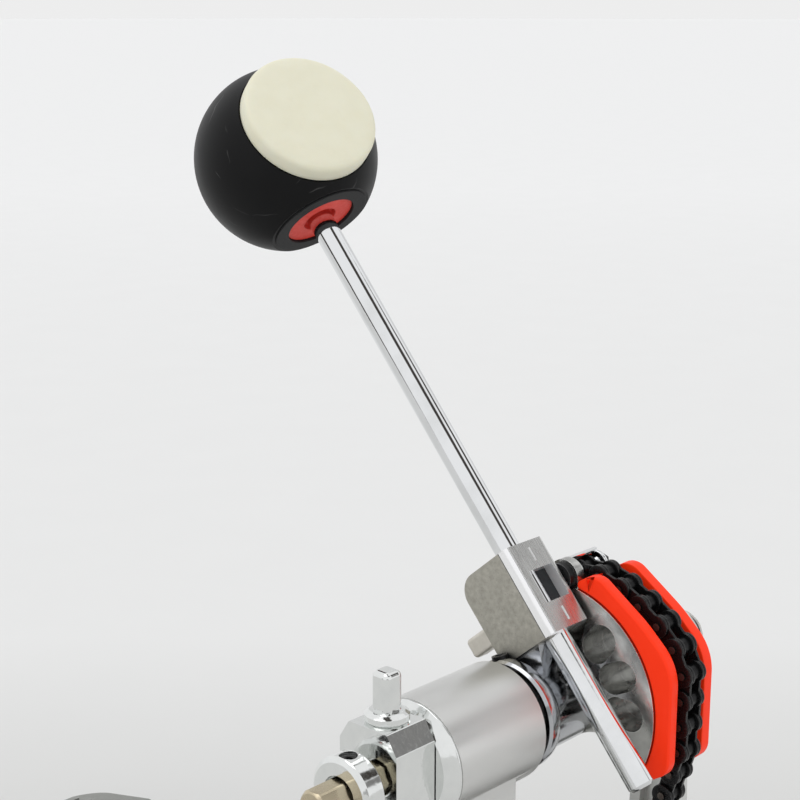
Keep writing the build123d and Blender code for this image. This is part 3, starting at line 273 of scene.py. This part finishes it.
def cast_metal():
    """The hub: a matt tumbled casting above and polished around the shaft, with painted shade behind its
    front plate and in its hollows.
    """
    shader = Shader("cast_metal")
    above = shader.distance_along(SHAFT, ROD_DIRECTION)
    in_front = shader.distance_along(SHAFT, ROD_NORMAL)
    is_block = shader.range(above, HUB_BLOCK_START * MM, (HUB_BLOCK_START + 0.8) * MM)
    # Painted shade: a mask for the face behind the front plate's window, which is darkened there.
    painted_shade_behind_window = shader.range(in_front, HUB_FRONT * MM, (HUB_FRONT + 0.2) * MM)
    mottle = shader.noise(1.7, 5)
    pits = shader.range(shader.noise(0.5, 3), 0.58, 0.75)
    stain = shader.range(shader.noise(7, 3), 0.4, 0.7)
    cast = shader.mix(shader.range(mottle, 0.3, 0.72), (0.49, 0.475, 0.42), (0.385, 0.37, 0.325))
    cast = shader.mix(shader.math("MULTIPLY", stain, 0.35), cast, (0.33, 0.32, 0.28))
    cast = shader.mix(shader.math("MULTIPLY", pits, 0.45), cast, (0.16, 0.155, 0.15))
    # Painted shade: hollows within 7 mm are darkened towards near black.
    cast = shader.mix(shader.range(shader.occlusion(7), 0.3, 0.7), (0.03, 0.03, 0.03), cast)
    # Painted shade behind the front plate's window.
    cast = shader.mix(painted_shade_behind_window, cast, (0.035, 0.037, 0.04))
    rough_block = shader.range(mottle, 0.3, 0.7, 0.46, 0.62)
    rough_barrel = shader.range(shader.noise(4, 3), 0.3, 0.7, 0.09, 0.2)
    relief = shader.math("MULTIPLY", shader.math("SUBTRACT", mottle, pits), is_block)
    shader.set(
        Base_Color=shader.mix(is_block, (0.48, 0.49, 0.51), cast),
        Metallic=shader.range(is_block, 0, 1, 1.0, 0.72),
        Roughness=shader.blend(is_block, rough_barrel, rough_block),
        Normal=shader.bump(relief, 0.06, 0.7),
    )
    return shader.material


def polished_aluminium():
    """The cam: a tumbled casting polished bright on its rim, with painted shade making its pockets duller
    and darker.
    """
    shader = Shader("polished_aluminium")
    cloud = shader.noise(5, 5)
    ripple = shader.noise(1.4, 3)
    # Painted shade: 1 on open faces, towards 0 in the pockets, which are darkened.
    outside_painted_shade = shader.range(shader.occlusion(6), 0.2, 0.7)
    metal = shader.mix(shader.range(cloud, 0.35, 0.7), (0.6, 0.6, 0.58), (0.42, 0.42, 0.41))
    metal = shader.mix(shader.edges(0.5), metal, (0.9, 0.9, 0.88))
    shader.set(
        Base_Color=shader.mix(outside_painted_shade, (0.36, 0.36, 0.35), metal),
        Metallic=1.0,
        Roughness=shader.range(cloud, 0.3, 0.7, 0.14, 0.3),
        Normal=shader.bump(ripple, 0.03, 0.45),
    )
    return shader.material


def nickel_steel():
    """Beige nickel plate, slightly tarnished."""
    shader = Shader("nickel_steel")
    tarnish = shader.noise(2.2, 4)
    shader.set(
        Base_Color=shader.mix(tarnish, (0.7, 0.67, 0.61), (0.56, 0.53, 0.47)),
        Metallic=0.85,
        Roughness=shader.range(tarnish, 0.3, 0.7, 0.3, 0.44),
        Normal=shader.bump(shader.noise(0.5, 3), 0.01, 0.6),
    )
    return shader.material


def tinted_steel():
    """Bronze-tinted plating of the shaft, with fine turning lines."""
    shader = Shader("tinted_steel")
    lines = shader.noise(0.35, 2, (1, 0.05, 0.05))
    tint = shader.noise(5, 3)
    shader.set(
        Base_Color=shader.mix(tint, (0.66, 0.59, 0.44), (0.46, 0.38, 0.26)),
        Metallic=1.0,
        Roughness=shader.range(tint, 0.3, 0.7, 0.2, 0.34),
        Normal=shader.bump(lines, 0.008, 0.6),
    )
    return shader.material


def zinc_steel():
    """Bright zinc plate with a blue-yellow cast and light scuffs."""
    shader = Shader("zinc_steel")
    tint = shader.noise(6, 4)
    scuff = shader.noise(0.8, 4, (1, 1, 0.2))
    shader.set(
        Base_Color=shader.mix(tint, (0.6, 0.61, 0.62), (0.56, 0.53, 0.47)),
        Metallic=1.0,
        Roughness=shader.range(scuff, 0.3, 0.7, 0.2, 0.36),
        Normal=shader.bump(scuff, 0.01, 0.5),
    )
    return shader.material


def bearing_steel():
    """Ground bearing rings with fine circular lines."""
    shader = Shader("bearing_steel")
    lines = shader.noise(0.3, 2, (1, 0.1, 0.1))
    shader.set(
        Base_Color=shader.mix(lines, (0.5, 0.5, 0.5), (0.4, 0.4, 0.41)),
        Metallic=1.0,
        Roughness=shader.range(lines, 0.3, 0.7, 0.16, 0.3),
        Normal=shader.bump(lines, 0.006, 0.5),
    )
    return shader.material


def spring_wire():
    """Nickel-plated wire with drawing lines."""
    shader = Shader("spring_wire")
    lines = shader.noise(0.6, 3, (1, 1, 0.3))
    shader.set(
        Base_Color=shader.mix(lines, (0.66, 0.66, 0.66), (0.52, 0.52, 0.52)),
        Metallic=1.0,
        Roughness=shader.range(lines, 0.3, 0.7, 0.14, 0.26),
        Normal=shader.bump(lines, 0.008, 0.5),
    )
    return shader.material


# ---------------------------------------------------------------- materials: dark parts
def black_steel():
    """Powder coat with a fine orange peel, rubbed through on its edges."""
    shader = Shader("black_steel")
    peel = shader.noise(0.8, 2)
    dust = shader.noise(18, 4)
    wear = shader.math("MULTIPLY", shader.edges(0.5), shader.range(shader.noise(2.5, 4), 0.42, 0.6))
    body = shader.mix(dust, (0.016, 0.016, 0.017), (0.03, 0.03, 0.03))
    shader.set(
        Base_Color=shader.mix(wear, body, (0.3, 0.3, 0.3)),
        Metallic=shader.math("MULTIPLY", wear, 0.9),
        Roughness=shader.range(dust, 0.3, 0.7, 0.38, 0.52),
        Normal=shader.bump(peel, 0.03, 0.6),
    )
    return shader.material


def black_chain():
    """Black oxide and oil, worn to steel where the links rub."""
    shader = Shader("black_chain")
    oil = shader.noise(1.6, 4)
    wear = shader.math("MULTIPLY", shader.edges(0.3), shader.range(shader.noise(1.0, 3), 0.45, 0.62))
    shader.set(
        Base_Color=shader.mix(wear, (0.012, 0.012, 0.013), (0.16, 0.15, 0.14)),
        Metallic=0.55,
        Roughness=shader.range(oil, 0.3, 0.7, 0.2, 0.38),
        Normal=shader.bump(shader.noise(0.4, 3), 0.012, 0.6),
    )
    return shader.material


def chain_pin_steel():
    """Pins and rollers: black oxide on their sides, bronze-brown riveted ends."""
    shader = Shader("chain_pin_steel")
    facing = shader.node("SeparateXYZ", output="X", inputs={"Vector": shader.normal()})
    end = shader.range(shader.math("ABSOLUTE", facing), 0.6, 0.9)
    tint = shader.noise(0.7, 3)
    ends = shader.mix(tint, (0.15, 0.125, 0.11), (0.07, 0.06, 0.055))
    shader.set(
        Base_Color=shader.mix(end, (0.016, 0.016, 0.017), ends),
        Metallic=0.8,
        Roughness=shader.range(tint, 0.3, 0.7, 0.24, 0.4),
        Normal=shader.bump(tint, 0.02, 0.5),
    )
    return shader.material


def black_screw():
    """Blackened screw, slightly shiny on its corners."""
    shader = Shader("black_screw")
    oxide = shader.noise(0.9, 4)
    wear = shader.math("MULTIPLY", shader.edges(0.25), 0.6)
    shader.set(
        Base_Color=shader.mix(wear, (0.014, 0.014, 0.015), (0.32, 0.32, 0.32)),
        Metallic=0.7,
        Roughness=shader.range(oxide, 0.3, 0.7, 0.24, 0.4),
        Normal=shader.bump(oxide, 0.01, 0.5),
    )
    return shader.material


def rubber():
    """Dusty moulded rubber."""
    shader = Shader("rubber")
    grain = shader.cells(0.7)
    dust = shader.range(shader.noise(12, 5), 0.4, 0.75)
    shader.set(
        Base_Color=shader.mix(dust, (0.018, 0.018, 0.018), (0.045, 0.044, 0.042)),
        Roughness=shader.range(dust, 0, 1, 0.62, 0.82),
        Normal=shader.bump(grain, 0.05, 0.5),
    )
    return shader.material


def black_plastic():
    """Moulded sleeves with a fine sparked grain."""
    shader = Shader("black_plastic")
    grain = shader.noise(0.4, 3)
    shader.set(
        Base_Color=shader.mix(grain, (0.014, 0.014, 0.014), (0.024, 0.024, 0.024)),
        Roughness=shader.range(grain, 0.3, 0.7, 0.42, 0.58),
        Normal=shader.bump(grain, 0.02, 0.6),
    )
    return shader.material


# ---------------------------------------------------------------- materials: beater and rails
def black_ball_plastic():
    """Satin moulded head with a fine sparked grain, handling marks and a few hairline scratches."""
    shader = Shader("black_ball_plastic")
    grain = shader.noise(0.32, 3)
    hands = shader.range(shader.noise(16, 5), 0.35, 0.75)
    inputs = {"Vector": shader.place, "Scale": 60.0, "Distortion": 14.0, "Detail": 3.0, "Detail Scale": 0.6}
    scratch_lines = shader.node("TexWave", wave_type="BANDS", bands_direction="DIAGONAL", inputs=inputs)
    patches = shader.range(shader.noise(9, 2), 0.55, 0.66)
    scratches = shader.math("MULTIPLY", shader.range(scratch_lines, 0.985, 1.0), patches)
    body = shader.mix(hands, (0.0035, 0.0035, 0.004), (0.006, 0.006, 0.0065))
    shader.set(
        Base_Color=shader.mix(scratches, body, (0.05, 0.05, 0.05)),
        Roughness=shader.range(hands, 0, 1, 0.4, 0.5),
        Specular_IOR_Level=0.16,
        Normal=shader.bump(scratches, -0.02, 0.5, shader.bump(grain, 0.012, 0.55)),
    )
    return shader.material


def cream_pad():
    """Dense cream striking disc: faintly mottled, dry, with a few impact dents."""
    shader = Shader("cream_pad")
    mottle = shader.noise(6, 5)
    fibre = shader.noise(0.6, 4)
    dents = shader.range(shader.noise(4.5, 2), 0.62, 0.78)
    body = shader.mix(shader.range(mottle, 0.3, 0.75), (0.815, 0.795, 0.64), (0.79, 0.765, 0.6))
    shader.set(
        Base_Color=shader.mix(shader.math("MULTIPLY", dents, 0.2), body, (0.72, 0.69, 0.54)),
        Roughness=shader.range(fibre, 0.3, 0.7, 0.5, 0.64),
        Subsurface_Weight=0.18,
        Subsurface_Radius=(0.9, 0.75, 0.5),
        Subsurface_Scale=0.0015,
        Normal=shader.bump(dents, -0.08, 0.5, shader.bump(fibre, 0.03, 0.5)),
    )
    return shader.material


def dark_grey_plastic():
    """Moulded ring around the rod's hole."""
    shader = Shader("dark_grey_plastic")
    grain = shader.noise(0.4, 3)
    shader.set(
        Base_Color=shader.mix(grain, (0.01, 0.01, 0.011), (0.016, 0.016, 0.017)),
        Roughness=shader.range(grain, 0.3, 0.7, 0.5, 0.6),
        Specular_IOR_Level=0.2,
        Normal=shader.bump(grain, 0.015, 0.5),
    )
    return shader.material


def red_core_rubber():
    """Red insert seen around the rod."""
    shader = Shader("red_core_rubber")
    mottle = shader.noise(1.5, 4)
    shader.set(
        Base_Color=shader.mix(mottle, (0.82, 0.06, 0.04), (0.7, 0.045, 0.03)),
        Roughness=shader.range(mottle, 0.3, 0.7, 0.42, 0.55),
        Specular_IOR_Level=0.3,
        Normal=shader.bump(mottle, 0.03, 0.5),
    )
    return shader.material


def orange_red_plastic():
    """Moulded rails with a faint painted glow that lifts their red, slightly chalky on their edges."""
    shader = Shader("orange_red_plastic")
    flow = shader.noise(10, 3)
    grain = shader.noise(0.35, 3)
    wear = shader.math("MULTIPLY", shader.edges(0.6), 0.35)
    body = shader.mix(flow, (1.0, 0.042, 0.006), (0.98, 0.036, 0.005))
    shader.set(
        Base_Color=shader.mix(wear, body, (1.0, 0.09, 0.03)),
        Roughness=shader.range(grain, 0.3, 0.7, 0.36, 0.48),
        Specular_IOR_Level=0.2,
        # Painted glow: the rails give off a little red light of their own.
        Emission_Color=(1.0, 0.03, 0.004),
        Emission_Strength=0.12,
        Normal=shader.bump(grain, 0.012, 0.5),
    )
    return shader.material


FINISHES = (
    chrome,
    plated_casting,
    polished_steel,
    satin_aluminium,
    board_aluminium,
    cast_metal,
    polished_aluminium,
    nickel_steel,
    tinted_steel,
    zinc_steel,
    bearing_steel,
    spring_wire,
    black_steel,
    black_chain,
    chain_pin_steel,
    black_screw,
    rubber,
    black_plastic,
    black_ball_plastic,
    cream_pad,
    dark_grey_plastic,
    red_core_rubber,
    orange_red_plastic,
)
materials = {finish.__name__: finish() for finish in FINISHES}
slot_of = {part["node"]: part["material_slot"] for part in frame["record"]["subparts"]}
for plated_part in ("spring_rocker", "rocker_bolt", "end_collar", "bearing_cap"):
    slot_of[plated_part] = "plated_casting"


# ---------------------------------------------------------------- CAD nodes: edges and finish
SHARP_ANGLE = math.radians(32)
# How far edges are rounded over, in millimetres.
EDGE_WIDTH = 0.22
EDGE_WIDTHS = {
    "near_cam_rail": 0.9,
    "far_cam_rail": 0.9,
    "cam_wheel": 0.35,
    "beater_hub": 0.5,
    "near_upright": 0.5,
    "far_upright": 0.5,
    "base_plate": 0.4,
    "footboard": 0.6,
    "heel_plate": 0.6,
    "clamp_jaw": 0.7,
    "spring_rocker": 0.35,
    "cam_chain_plates": 0.14,
    "middle_chain_plates": 0.14,
    "lower_chain_plates": 0.14,
    "beater_pad": 0.0,
    "bearing_balls": 0.0,
}


def smooth(mesh):
    """Shades a mesh smoothly except over its sharp edges."""
    if "custom_normal" in mesh.attributes:
        mesh.attributes.remove(mesh.attributes["custom_normal"])
    mesh.shade_smooth()
    mesh.set_sharp_from_angle(angle=SHARP_ANGLE)


def soften(node, width):
    """Joins a node's faces, rounds its edges by a width in millimetres, and keeps its flats flat."""
    weld = node.modifiers.new("weld", "WELD")
    weld.merge_threshold = 0.002 * MM
    if width:
        bevel = node.modifiers.new("bevel", "BEVEL")
        bevel.width = width * MM
        bevel.segments = 2
        bevel.limit_method = "ANGLE"
        bevel.angle_limit = SHARP_ANGLE
        bevel.use_clamp_overlap = True
    normals = node.modifiers.new("normals", "WEIGHTED_NORMAL")
    normals.keep_sharp = True


for name, node in nodes.items():
    smooth(node.data)
    soften(node, EDGE_WIDTHS.get(name, EDGE_WIDTH))
    node.data.materials.clear()
    node.data.materials.append(materials[slot_of[name]])


# ---------------------------------------------------------------- built pieces
def middle_of(node):
    """The (X, Y) middle of a CAD node's box."""
    low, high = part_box(node)
    return (low[0] + high[0]) / 2, (low[1] + high[1]) / 2


# The striking disc: how far it stands from the ball's middle, in millimetres, its turn round the rod,
# in degrees, its sides, the depth of its dents and how close they lie, and its section's radii and heights.
PAD_SEAT = 19.56
PAD_TWIST = 14.3
PAD_SIDES = 128
PAD_DENT = 0.09
PAD_DENTS_PER_MM = 0.16
PAD_PROFILE = (
    (0.0, 0.0),
    (21.2, 0.0),
    (21.45, 0.3),
    (21.5, 1.6),
    (21.45, 4.2),
    (21.2, 4.9),
    (20.7, 5.35),
    (19.9, 5.62),
    (18.0, 5.8),
    (14.6, 5.92),
    (10.6, 5.99),
    (5.8, 6.03),
    (0.0, 6.04),
)


def mesh_object(name, shape, material):
    """A smooth-shaded object from a bmesh, with one of the record's materials."""
    mesh = bpy.data.meshes.new(name)
    bmesh.ops.recalc_face_normals(shape, faces=shape.faces)
    shape.to_mesh(mesh)
    shape.free()
    mesh.shade_smooth()
    made = bpy.data.objects.new(name, mesh)
    made.data.materials.append(materials[material])
    bpy.context.scene.collection.objects.link(made)
    return made


def bridge(shape, rings):
    """Faces between neighbouring closed rings of vertices."""
    for first, second in zip(rings, rings[1:]):
        count = len(first)
        for index in range(count):
            after = (index + 1) % count
            shape.faces.new((first[index], first[after], second[after], second[index]))


def striking_pad():
    """The beater's cream disc: slightly crowned, its rim rounded over and its face faintly dented by use."""
    twist = math.radians(PAD_TWIST)
    facing = Vector((math.sin(twist), 0, 0)) + ROD_NORMAL * math.cos(twist)
    ball = SHAFT + (ROD_NORMAL * ROD_OFFSET + ROD_DIRECTION * BALL_HEIGHT) * MM
    centre = ball + facing * (PAD_SEAT * MM)
    across = ROD_DIRECTION.cross(facing).normalized()
    along = facing.cross(across)
    shape = bmesh.new()

    def vertex(radius, height, angle):
        flat = across * (radius * math.cos(angle)) + along * (radius * math.sin(angle))
        dent = PAD_DENT * noise.noise(flat * PAD_DENTS_PER_MM) * (height / PAD_PROFILE[-1][1])
        return shape.verts.new(centre + (flat + facing * (height + dent)) * MM)

    rings = []
    for radius, height in PAD_PROFILE[1:-1]:
        rings.append([vertex(radius, height, 2 * math.pi * index / PAD_SIDES) for index in range(PAD_SIDES)])
    bridge(shape, rings)
    for ring, height in ((rings[0], PAD_PROFILE[0][1]), (rings[-1], PAD_PROFILE[-1][1])):
        middle = vertex(0.0, height, 0.0)
        for index in range(PAD_SIDES):
            shape.faces.new((ring[index], ring[(index + 1) % PAD_SIDES], middle))
    pad = mesh_object("striking_pad", shape, "cream_pad")
    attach(pad, "beater")
    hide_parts("beater_pad")


# The return spring, in turns and millimetres.
SPRING_TURNS = 20
STEPS_PER_TURN = 36
CLOSED_TURNS = 1.6
CLOSED_PITCH = 2.5
WIRE_RADIUS = 1.17
WIRE_SIDES = 10
COIL_RADIUS = 8.0
COIL_SLOPE = 0.06


def wire(name, points, radius, material):
    """A round wire along a path of (point, outward direction, along direction)."""
    shape = bmesh.new()
    rings = []
    for point, outward, along in points:
        across = along.cross(outward).normalized()
        ring = []
        for index in range(WIRE_SIDES):
            angle = 2 * math.pi * index / WIRE_SIDES
            offset = outward * math.cos(angle) + across * math.sin(angle)
            ring.append(shape.verts.new(point + offset * radius))
        rings.append(ring)
    bridge(shape, rings)
    shape.faces.new(rings[0])
    shape.faces.new(reversed(rings[-1]))
    return mesh_object(name, shape, material)


def wound_spring():
    """The return spring: round wire, open coils between two closed ends that grip the plugs."""
    axis_x, axis_y = middle_of("return_spring")
    low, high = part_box("return_spring")
    bottom = low[2] + WIRE_RADIUS * MM
    top = high[2] - WIRE_RADIUS * MM
    closed = CLOSED_TURNS * CLOSED_PITCH * MM
    open_pitch = (top - bottom - 2 * closed) / (SPRING_TURNS - 2 * CLOSED_TURNS)
    points = []
    for step in range(SPRING_TURNS * STEPS_PER_TURN + 1):
        turn = step / STEPS_PER_TURN
        opened = min(max(turn - CLOSED_TURNS, 0), SPRING_TURNS - 2 * CLOSED_TURNS)
        height = bottom + opened * open_pitch + (turn - opened) * CLOSED_PITCH * MM
        angle = 2 * math.pi * turn
        outward = Vector((math.cos(angle), math.sin(angle), 0))
        along = Vector((-math.sin(angle), math.cos(angle), COIL_SLOPE)).normalized()
        points.append((Vector((axis_x, axis_y, height)) + outward * (COIL_RADIUS * MM), outward, along))
    spring = wire("wound_spring", points, WIRE_RADIUS * MM, "spring_wire")
    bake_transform(spring)
    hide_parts("return_spring")


# A thread's ridge: steps in a turn, height, how deep its foot sits, and its half-width in pitches.
THREAD_STEPS = 28
THREAD_DEPTH = 0.26
THREAD_ROOT = 0.05
THREAD_HALF_WIDTH = 0.46


def thread(name, body, centre, heights, radius, pitch, material):
    """A cut thread: a sharp helical ridge round a plain screw, between two heights in millimetres."""
    shape = bmesh.new()
    low, high = heights
    count = int((high - low) / pitch * THREAD_STEPS)
    previous = None
    for step in range(count + 1):
        angle = 2 * math.pi * step / THREAD_STEPS
        height = low + step * pitch / THREAD_STEPS
        fade = min(1.0, step / THREAD_STEPS, (count - step) / THREAD_STEPS)
        corners = (
            (-THREAD_ROOT, -THREAD_HALF_WIDTH),
            (THREAD_DEPTH * fade, 0.0),
            (-THREAD_ROOT, THREAD_HALF_WIDTH),
        )
        section = []
        for out, up in corners:
            reach = (radius + out) * MM
            x = centre[0] + reach * math.cos(angle)
            y = centre[1] + reach * math.sin(angle)
            section.append(shape.verts.new((x, y, (height + up * pitch) * MM)))
        if previous:
            for index in range(2):
                shape.faces.new((previous[index], section[index], section[index + 1], previous[index + 1]))
        previous = section
    ridge = mesh_object(name, shape, material)
    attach(ridge, body)


def threads():
    """Threads on the screws whose shanks show."""
    wing_x, wing_y = middle_of("wing_bolt")
    thread("wing_bolt_thread", "wing_bolt", (wing_x, wing_y), (15.0, 20.8), 4.0, 1.25, "chrome")
    for side in ("far", "near"):
        spur = f"{side}_spur"
        thread(f"{spur}_thread", spur, middle_of(spur), (14.2, 19.6), 3.0, 1.0, "chrome")
    thread("spring_stud_thread", "frame", SPRING_FOOT, (9.4, 11.2), 3.95, 1.0, "zinc_steel")


striking_pad()
wound_spring()
threads()


# ---------------------------------------------------------------- stage
CAMERA_AZIMUTH = 133.0
CAMERA_ELEVATION = 13.19
CAMERA_PLACE = SHAFT + Vector((0.3641, 0.2837, 0.2005))
CAMERA_LENS = 74.26
BACKGROUND = (0.85, 0.85, 0.85)
# Nearer paper tones hold painted shade that darkens the sheet towards the viewer; the far one is the paper's
# own colour.
NEAR_PAPER_PAINTED_SHADE = (0.66, 0.66, 0.65)
MIDDLE_PAPER_PAINTED_SHADE = (0.77, 0.77, 0.765)
FAR_PAPER = (0.83, 0.83, 0.83)
# Where the floor's painted shade changes, in metres in front of the camera.
PAPER_START = 0.7
PAPER_BEND = 0.94
PAPER_END = 3.5
STUDIO_LIGHT = (0.92, 0.925, 0.93)
# The colour of the dark patches painted into reflections, and the softness of their rims.
PAINTED_REFLECTION_COLOUR = (0.06, 0.055, 0.05)
PAINTED_REFLECTION_EDGE = 0.012
LAMP_ENERGY = 0.45
LAMP_SPREAD = 40.0
LAMP_TO_LEFT = 0.45
LAMP_TO_VIEWER = 0.2
# Dark patches painted only into reflections: directions as (camera's right, towards the camera, up), the
# cosine of their half-angle, and how dark.
PAINTED_REFLECTION_FLAGS = (
    (0.77, -0.17, 0.62, 0.982, 1.0),
    (0.92, -0.05, 0.38, 0.985, 0.8),
    (0.42, 0.38, 0.83, 0.972, 1.0),
    (-0.93, 0.3, 0.0, 0.982, 1.0),
    (0.0, 0.05, 1.0, 0.97, 1.0),
    (0.1, 0.97, -0.1, 0.93, 0.55),
    (0.2, -0.93, 0.35, 0.86, 0.22),
)


def view_axes():
    """The camera's right, up and backward directions."""
    azimuth = math.radians(CAMERA_AZIMUTH)
    elevation = math.radians(CAMERA_ELEVATION)
    level = math.cos(elevation)
    back = Vector((math.sin(azimuth) * level, -math.cos(azimuth) * level, math.sin(elevation)))
    right = Vector((math.cos(azimuth), math.sin(azimuth), 0))
    return right, back.cross(right), back


def floor():
    """A very wide pale sheet, darkened towards the viewer by painted shade, with a faint line where that
    shade bends.
    """
    bpy.ops.mesh.primitive_plane_add(size=200.0, location=(0, 0, 0))
    sheet = bpy.context.object
    sheet.name = "floor"
    shader = Shader("floor_paper")
    _, _, back = view_axes()
    forward = Vector((-back.x, -back.y, 0)).normalized()
    distance = shader.distance_along(CAMERA_PLACE, forward)
    # Painted shade: the paper is darkened towards the viewer.
    near = shader.mix(shader.range(distance, PAPER_START, PAPER_BEND), NEAR_PAPER_PAINTED_SHADE, MIDDLE_PAPER_PAINTED_SHADE)
    far = shader.mix(shader.range(distance, PAPER_BEND, PAPER_END), MIDDLE_PAPER_PAINTED_SHADE, FAR_PAPER)
    paper_and_painted_shade = shader.mix(shader.range(distance, PAPER_BEND - 0.005, PAPER_BEND + 0.015), near, far)
    mottle = shader.range(shader.noise(60, 3), 0.35, 0.65, 0.0, 0.03)
    shader.set(
        Base_Color=shader.mix(mottle, paper_and_painted_shade, (0.6, 0.6, 0.6)),
        Roughness=0.8,
        Specular_IOR_Level=0.2,
        Normal=shader.bump(shader.noise(1.2, 3), 0.02, 0.3),
    )
    sheet.data.materials.append(shader.material)


def camera():
    """The viewer's place and lens."""
    right, up, back = view_axes()
    data = bpy.data.cameras.new("camera")
    data.lens = CAMERA_LENS
    data.clip_start = 0.01
    data.clip_end = 300.0
    made = bpy.data.objects.new("camera", data)
    turn = Matrix((right, up, back)).transposed().to_4x4()
    made.matrix_world = Matrix.Translation(CAMERA_PLACE) @ turn
    bpy.context.scene.collection.objects.link(made)
    bpy.context.scene.camera = made


def world():
    """Pale surroundings, with a few dark patches painted only into what mirror-like parts reflect."""
    surroundings = bpy.data.worlds.new("studio")
    bpy.context.scene.world = surroundings
    sky = NodeTree(surroundings)
    direction = sky.node("TexCoord", output="Generated")
    is_camera_ray = sky.node("LightPath", output="Is Camera Ray")
    is_glossy_ray = sky.node("LightPath", output="Is Glossy Ray")
    right, _, back = view_axes()
    level_back = Vector((back.x, back.y, 0)).normalized()
    dark = 0.0
    for x, y, z, wide, depth in PAINTED_REFLECTION_FLAGS:
        aim = (right * x + level_back * y + Vector((0, 0, z))).normalized()
        inside = sky.range(sky.dot(direction, aim), wide, wide + PAINTED_REFLECTION_EDGE, interpolation_type="SMOOTHSTEP")
        dark = sky.math("MAXIMUM", dark, sky.math("MULTIPLY", inside, depth))
    # Painted reflections: glossy rays alone see the dark patches.
    colour = sky.mix(sky.math("MULTIPLY", dark, is_glossy_ray), STUDIO_LIGHT, PAINTED_REFLECTION_COLOUR)
    background = sky.nodes["Background"].inputs
    sky.feed(background["Color"], sky.mix(is_camera_ray, colour, BACKGROUND))
    sky.feed(background["Strength"], 1.0)


def lights():
    """One very soft light from above, a little to the viewer's left and on the viewer's side."""
    right, _, back = view_axes()
    data = bpy.data.lights.new("overhead", "SUN")
    data.energy = LAMP_ENERGY
    data.angle = math.radians(LAMP_SPREAD)
    lamp = bpy.data.objects.new("overhead", data)
    lamp.rotation_mode = "QUATERNION"
    from_direction = Vector((0, 0, 1)) - right * LAMP_TO_LEFT + back * LAMP_TO_VIEWER
    lamp.rotation_quaternion = (-from_direction).to_track_quat("-Z", "Y")
    bpy.context.scene.collection.objects.link(lamp)


world()
floor()
lights()
camera()
bpy.context.scene.view_settings.view_transform = "Standard"
